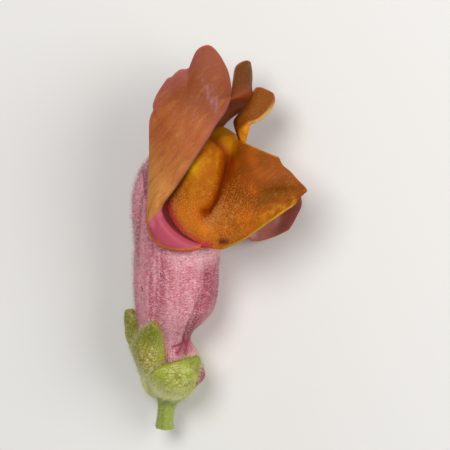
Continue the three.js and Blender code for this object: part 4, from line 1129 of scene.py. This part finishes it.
def growHairs(name, piece, looks, seed, flip=1, where=None):
    # hairs over a sheet, thicker where its fuzz value is high
    looks = {**usualHair, **looks}
    draw = np.random.default_rng(seed)
    count = looks["count"] // 1
    mesh = piece.data
    mesh.calc_loop_triangles()
    corners = np.array([t.vertices for t in mesh.loop_triangles])
    places, normals, fuzz = readPlaces(mesh), readPlaces(mesh, "normal") * flip, readValue(mesh, "fuzz")
    drawn = (places * 1000 - restShift) @ restTurn
    if where is not None:
        fuzz = fuzz * where(drawn)
    a, b, c = (places[corners[:, n]] for n in range(3))
    area = np.linalg.norm(np.cross(b - a, c - a), axis=1) * fuzz[corners].mean(axis=1)
    chosen = draw.choice(len(corners), count, p=area / area.sum())
    share = draw.random((count, 2))
    share = np.where(share.sum(1, keepdims=True) > 1, 1 - share, share)
    weights = np.concatenate([1 - share.sum(1, keepdims=True), share], axis=1)[..., None]
    root, normal = ((values[corners[chosen]] * weights).sum(1) for values in (places, normals))
    root = root + normal * (looks["lift"] - 0.03) / 1000
    around = np.cross(normal, restTurn @ np.array((0.05, 0.965, 0.26)))
    turned = np.sin(6 * roughly(drawn[corners[chosen, 0]][None], 1.6, seed)[0])[:, None] * looks["sweep"]
    way = unit(normal * looks["stand"] + restTurn @ np.array(looks["lean"], float) + around * turned
               + draw.normal(0, looks["loose"], (count, 3)))
    bend = draw.normal(0, looks["bend"], (count, 3))
    bend -= way * (bend * way).sum(1, keepdims=True)
    side = unit(np.cross(way, draw.normal(0, 1, (count, 3))))
    up = np.cross(way, side)
    long = looks["length"] * draw.uniform(0.55, 1.25, (count, 1, 1)) / 1000
    thick = looks["width"] / 2 * draw.uniform(0.8, 1.2, (count, 1, 1)) / 1000
    hairs, shape = hairCopies(name, looks["form"], count)
    x, y, z = (shape[None, :, n, None] for n in range(3))
    points = (root[:, None] + (way[:, None] * z + bend[:, None] * z**2) * long
              + (side[:, None] * x + up[:, None] * y) * thick)
    hairs.data.vertices.foreach_set("co", points.ravel())
    hairs.data.update()
    print(name, count, "hairs")
    return hairs


def petalFaceFinish():
    f = Finish("petalFace")
    streaks, freckles, fine = f.noise(1.6, 4, 0.6), f.noise(6.5), f.noise(18)
    gloss, mottle = f.read("gloss"), f.read("mottle")
    matt = 1 - gloss
    colour = f.layers(upperColours, [
        ("russet", streaks.between(0.5, 0.66) * matt * 0.4),
        ("apricot", streaks.between(0.46, 0.32) * mottle * 0.22),
        ("lilac", freckles.between(0.58, 0.7) * mottle * 0.15),
        ("russet", freckles.between(0.47, 0.32) * matt * 0.25),
        ("redBronze", fine.between(0.6, 0.35) * matt * 0.2)])
    return f.shade(colour, gloss.between(0, 1, 0.5, 0.26), (0.12, (1, 0.4, 0.2), 0.0004),
                   Normal=f.bump(streaks * 0.7 + fine * 0.3, 0.07, 0.7), Specular_IOR_Level=0.15)


def petalBackFinish(name, dark):
    f = Finish(name)
    streaks, fine = f.noise(1.8, 3), f.noise(11)
    colour = f.layers({**skinColours, "dark": dark}, [
        ("dark", streaks.between(0.42, 0.66) * 0.4), ("pale", fine.between(0.5, 0.7) * 0.2)], "back")
    return f.shade(colour, 0.6, (0.12, (1, 0.4, 0.3), 0.0004), Normal=f.bump(streaks + fine, 0.05, 0.6),
                   Specular_IOR_Level=0.3, Sheen_Weight=0.12, Sheen_Roughness=0.5, Sheen_Tint=(1, 0.85, 0.9))


def lipFaceFinish():
    f = Finish("lipFace")
    blotch, flecks, fine = f.noise(1.2, 3), f.noise(5.5, 4, 0.7), f.noise(14)
    mottle = f.read("mottle")
    colour = f.layers(lowerColours, [
        ("deep", blotch.between(0.48, 0.68) * (mottle * 0.3 + 0.1)),
        ("gold", flecks.between(0.53, 0.66) * (mottle * 0.15 + 0.22)),
        ("leather", flecks.between(0.47, 0.36) * (mottle * 0.1 + 0.22)),
        ("deep", fine.between(0.52, 0.38) * 0.2)])
    return f.shade(colour, 0.5, (0.15, (1, 0.5, 0.1), 0.0004),
                   Normal=f.bump(flecks * 0.8 + fine * 0.4, 0.12, 0.9), Specular_IOR_Level=0.12)


def tubeFinish():
    f = Finish("tubeSkin")
    strokes = f.noise(1, roughness=0.6, distortion=0.8, stretch=(3.6, 3.6, 9))
    specks, downy = f.noise(7.5, 1), f.read("fuzz")
    colour = f.layers(skinColours, [
        ("rosy", strokes.between(0.5, 0.36) * 0.65),
        ("pale", strokes.between(0.52, 0.62) * (downy * 0.65 + 0.1)),
        ("pale", specks.between(0.6, 0.72) * (downy * 0.35 + 0.05))])
    return f.shade(colour, 0.45, (0.12, (1, 0.4, 0.4), 0.0004),
                   Normal=f.bump(strokes + specks * 0.4, 0.09, 0.8), Specular_IOR_Level=0.4,
                   Sheen_Weight=0.15, Sheen_Roughness=0.4, Sheen_Tint=(1, 0.88, 0.92))


def sepalFinish():
    f = Finish("sepalSkin")
    blotch, grit = f.noise(1.7), f.noise(8)
    colour = f.layers(greens, [
        ("fresh", blotch.between(0.5, 0.7) * 0.2),
        ("pale", grit.between(0.56, 0.68) * 0.25),
        ("olive", grit.between(0.46, 0.34) * 0.3)])
    return f.shade(colour, 0.32, (0.1, (0.6, 1, 0.2), 0.0003), Normal=f.bump(grit, 0.04, 0.6),
                   Specular_IOR_Level=0.45)


def plainFinish(name):
    f = Finish(name)
    fine = f.noise(7, 3)
    colour = f.layers(insideColours, [("shade", fine.between(0.35, 0.65) * 0.35)])
    return f.shade(colour, 0.5, Normal=f.bump(fine, 0.05, 0.6))


def hairFinish(name, rough=0.35):
    return Finish(name).shade(hairColours[name], rough, Sheen_Weight=0.3, Sheen_Roughness=0.3)


def finishPiece(piece, node, slot, *materials):
    for material in materials:
        piece.data.materials.append(material)
    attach(piece, "root")
    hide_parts(node)


def setHairs(name, piece, material, slot, seed, looks=None, **settings):
    hairs = growHairs(name, piece, hairLooks[looks or name], seed, **settings)
    hairs.data.materials.append(material)
    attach(hairs, "root")


def flankShare(place):
    # few long hairs on the near flank, more on the sides
    turn = np.arctan2(place[:, 2] - tube["lean"] * (place[:, 1] - 2), place[:, 0] - 0.5)
    return 0.1 + 0.9 * smooth(np.cos(turn - math.radians(84)), 0.6, 0.1)


def hoodShare(place):
    x, y, z = place.T
    return 1 - smooth(x, -0.9, -0.3) * smooth(y, 21, 20) * (z > 4)


def palateShare(place):
    x, y, z = place.T
    return smooth(x, 9.5, 5) * smooth(y, 22.5, 19) * smooth(z, 6, 8)


def pitShare(place):
    return nearLine(place[None], lowerLip["pitEdge"], 0.45)[0] * smooth(place[:, 2], 6, 8)


def throatShare(place):
    x, y, z = place.T
    return smooth(y - 0.25 * x, 19, 15.5) * smooth(z, 7.6, 6.6) * smooth(x, 9, 7.5) * smooth(x, 2.5, 4)


hairColours = palette(
    downHair=(224, 164, 174), whiteHair=(238, 200, 204), greenHair=(220, 220, 160), goldHair=(240, 158, 58),
    paleHair=(240, 176, 84))
insideSkin = petalBackFinish("tubeInside", skinColours["dusk"])
downHair, whiteHair, greenHair = (hairFinish(name) for name in ("downHair", "whiteHair", "greenHair"))
goldHair, paleHair = hairFinish("goldHair", 0.6), hairFinish("paleHair", 0.5)

corollaTube = buildTube()
finishPiece(corollaTube, "corolla_tube", "tube_petal", tubeFinish(), insideSkin)
setHairs("tubeDown", corollaTube, downHair, "tube_petal", 11)
setHairs("tubeHairs", corollaTube, whiteHair, "tube_petal", 12, where=flankShare)
thicken(corollaTube, tube["wall"], levels=0)
print("corolla tube done")

upper = buildUpperLip()
hoodSkins = petalFaceFinish(), petalBackFinish("petalBack", upperColours["maroon"])
finishPiece(upper, "upper_lip", "upper_petal", *hoodSkins)
setHairs("hoodHairs", upper, whiteHair, "upper_petal", 13, flip=-1, where=hoodShare)
thicken(upper, upperLip["wall"])
print("upper lip done")

lower = buildLowerLip()
lipSkins = lipFaceFinish(), petalBackFinish("lipBack", lowerColours["redEdge"])
finishPiece(lower, "lower_lip", "lower_petal", *lipSkins)
setHairs("palateFuzz", lower, goldHair, "lower_petal", 14, where=palateShare)
setHairs("pitHairs", lower, paleHair, "lower_petal", 15, where=pitShare)
setHairs("throatHairs", lower, whiteHair, "lower_petal", 16, flip=-1, where=throatShare)
thicken(lower, lowerLip["wall"])
middle = buildMiddleLobe()
for skin in lipSkins:
    middle.data.materials.append(skin)
thicken(middle, lowerLip["wall"])
join(lower, middle)
print("lower lip done")

sepalSkin = sepalFinish()
for number in range(5):
    sepal = buildSepal(number)
    finishPiece(sepal, "sepal_%d" % (number + 1), "sepal_green", sepalSkin)
    setHairs("sepalHairs%d" % (number + 1), sepal, greenHair, "sepal_green", 20 + number, looks="sepalHairs")
    thicken(sepal, calyx["wall"], levels=0)
stalk = buildStalk()
finishPiece(stalk, "pedicel", "stalk_green", sepalSkin)
setHairs("stalkHairs", stalk, greenHair, "stalk_green", 31)
print("calyx and stalk done")

pollen, green = plainFinish("pollen"), plainFinish("pistilSkin")
for number in range(4):
    finishPiece(buildStamen(number), "stamen_%d" % (number + 1), "pollen_yellow", pollen)
finishPiece(buildPistil(), "pistil", "pistil_green", green)
print("stamens and pistil done")


stage = {
    "middle": (5.5, 17.5, 6),
    "frameWidth": 45,
    "lens": 250,
    "sensor": 36,
    "floorColour": rgb(232, 230, 226),
    "floorSize": 3,
    # offset from the middle in millimetres, size in metres and watts
    "lights": {
        "keyLight": ((-110, 110, 345), 0.2, 0.78),
        "fillLight": ((200, 20, 300), 0.24, 0.8),
        "rimLight": ((-120, 380, 60), 0.2, 0.2),
    },
    "sky": 0.2,
}


def lookFrom(thing, offset, roll=(0, 1, 0)):
    # places a camera or light at an offset from the stage's middle, looking at it
    target = np.array(stage["middle"], float)
    place, target = Vector(layDown(target + offset)), Vector(layDown(target))
    back = (place - target).normalized()
    right = Vector(restTurn @ np.array(roll, float)).cross(back).normalized()
    thing.matrix_world = Matrix((right, back.cross(right), back)).transposed().to_4x4()
    thing.matrix_world.translation = place


deselectAll()
bpy.ops.object.camera_add()
camera = bpy.context.object
camera.data.lens, camera.data.sensor_width = stage["lens"], stage["sensor"]
camera.data.clip_start, camera.data.clip_end = 0.02, 20
lookFrom(camera, (0, 0, stage["lens"] / stage["sensor"] * stage["frameWidth"]))
scene = bpy.context.scene
scene.camera = camera
for name, (offset, size, watts) in stage["lights"].items():
    deselectAll()
    bpy.ops.object.light_add(type="AREA")
    light = justMade(name)
    light.data.shape, light.data.size, light.data.energy = "DISK", size, watts
    lookFrom(light, offset, (0.1, 1, 0.05))
scene.world = bpy.data.worlds.new("studio")
scene.world.use_nodes = True
background = scene.world.node_tree.nodes["Background"].inputs
background["Color"].default_value = (1, 1, 1, 1)
background["Strength"].default_value = stage["sky"]
scene.view_settings.view_transform = "Standard"

deselectAll()
bpy.ops.mesh.primitive_plane_add(size=stage["floorSize"])
floor = justMade("floor")
floor.data.materials.append(Finish("floorPaper").shade(stage["floorColour"], 0.8))
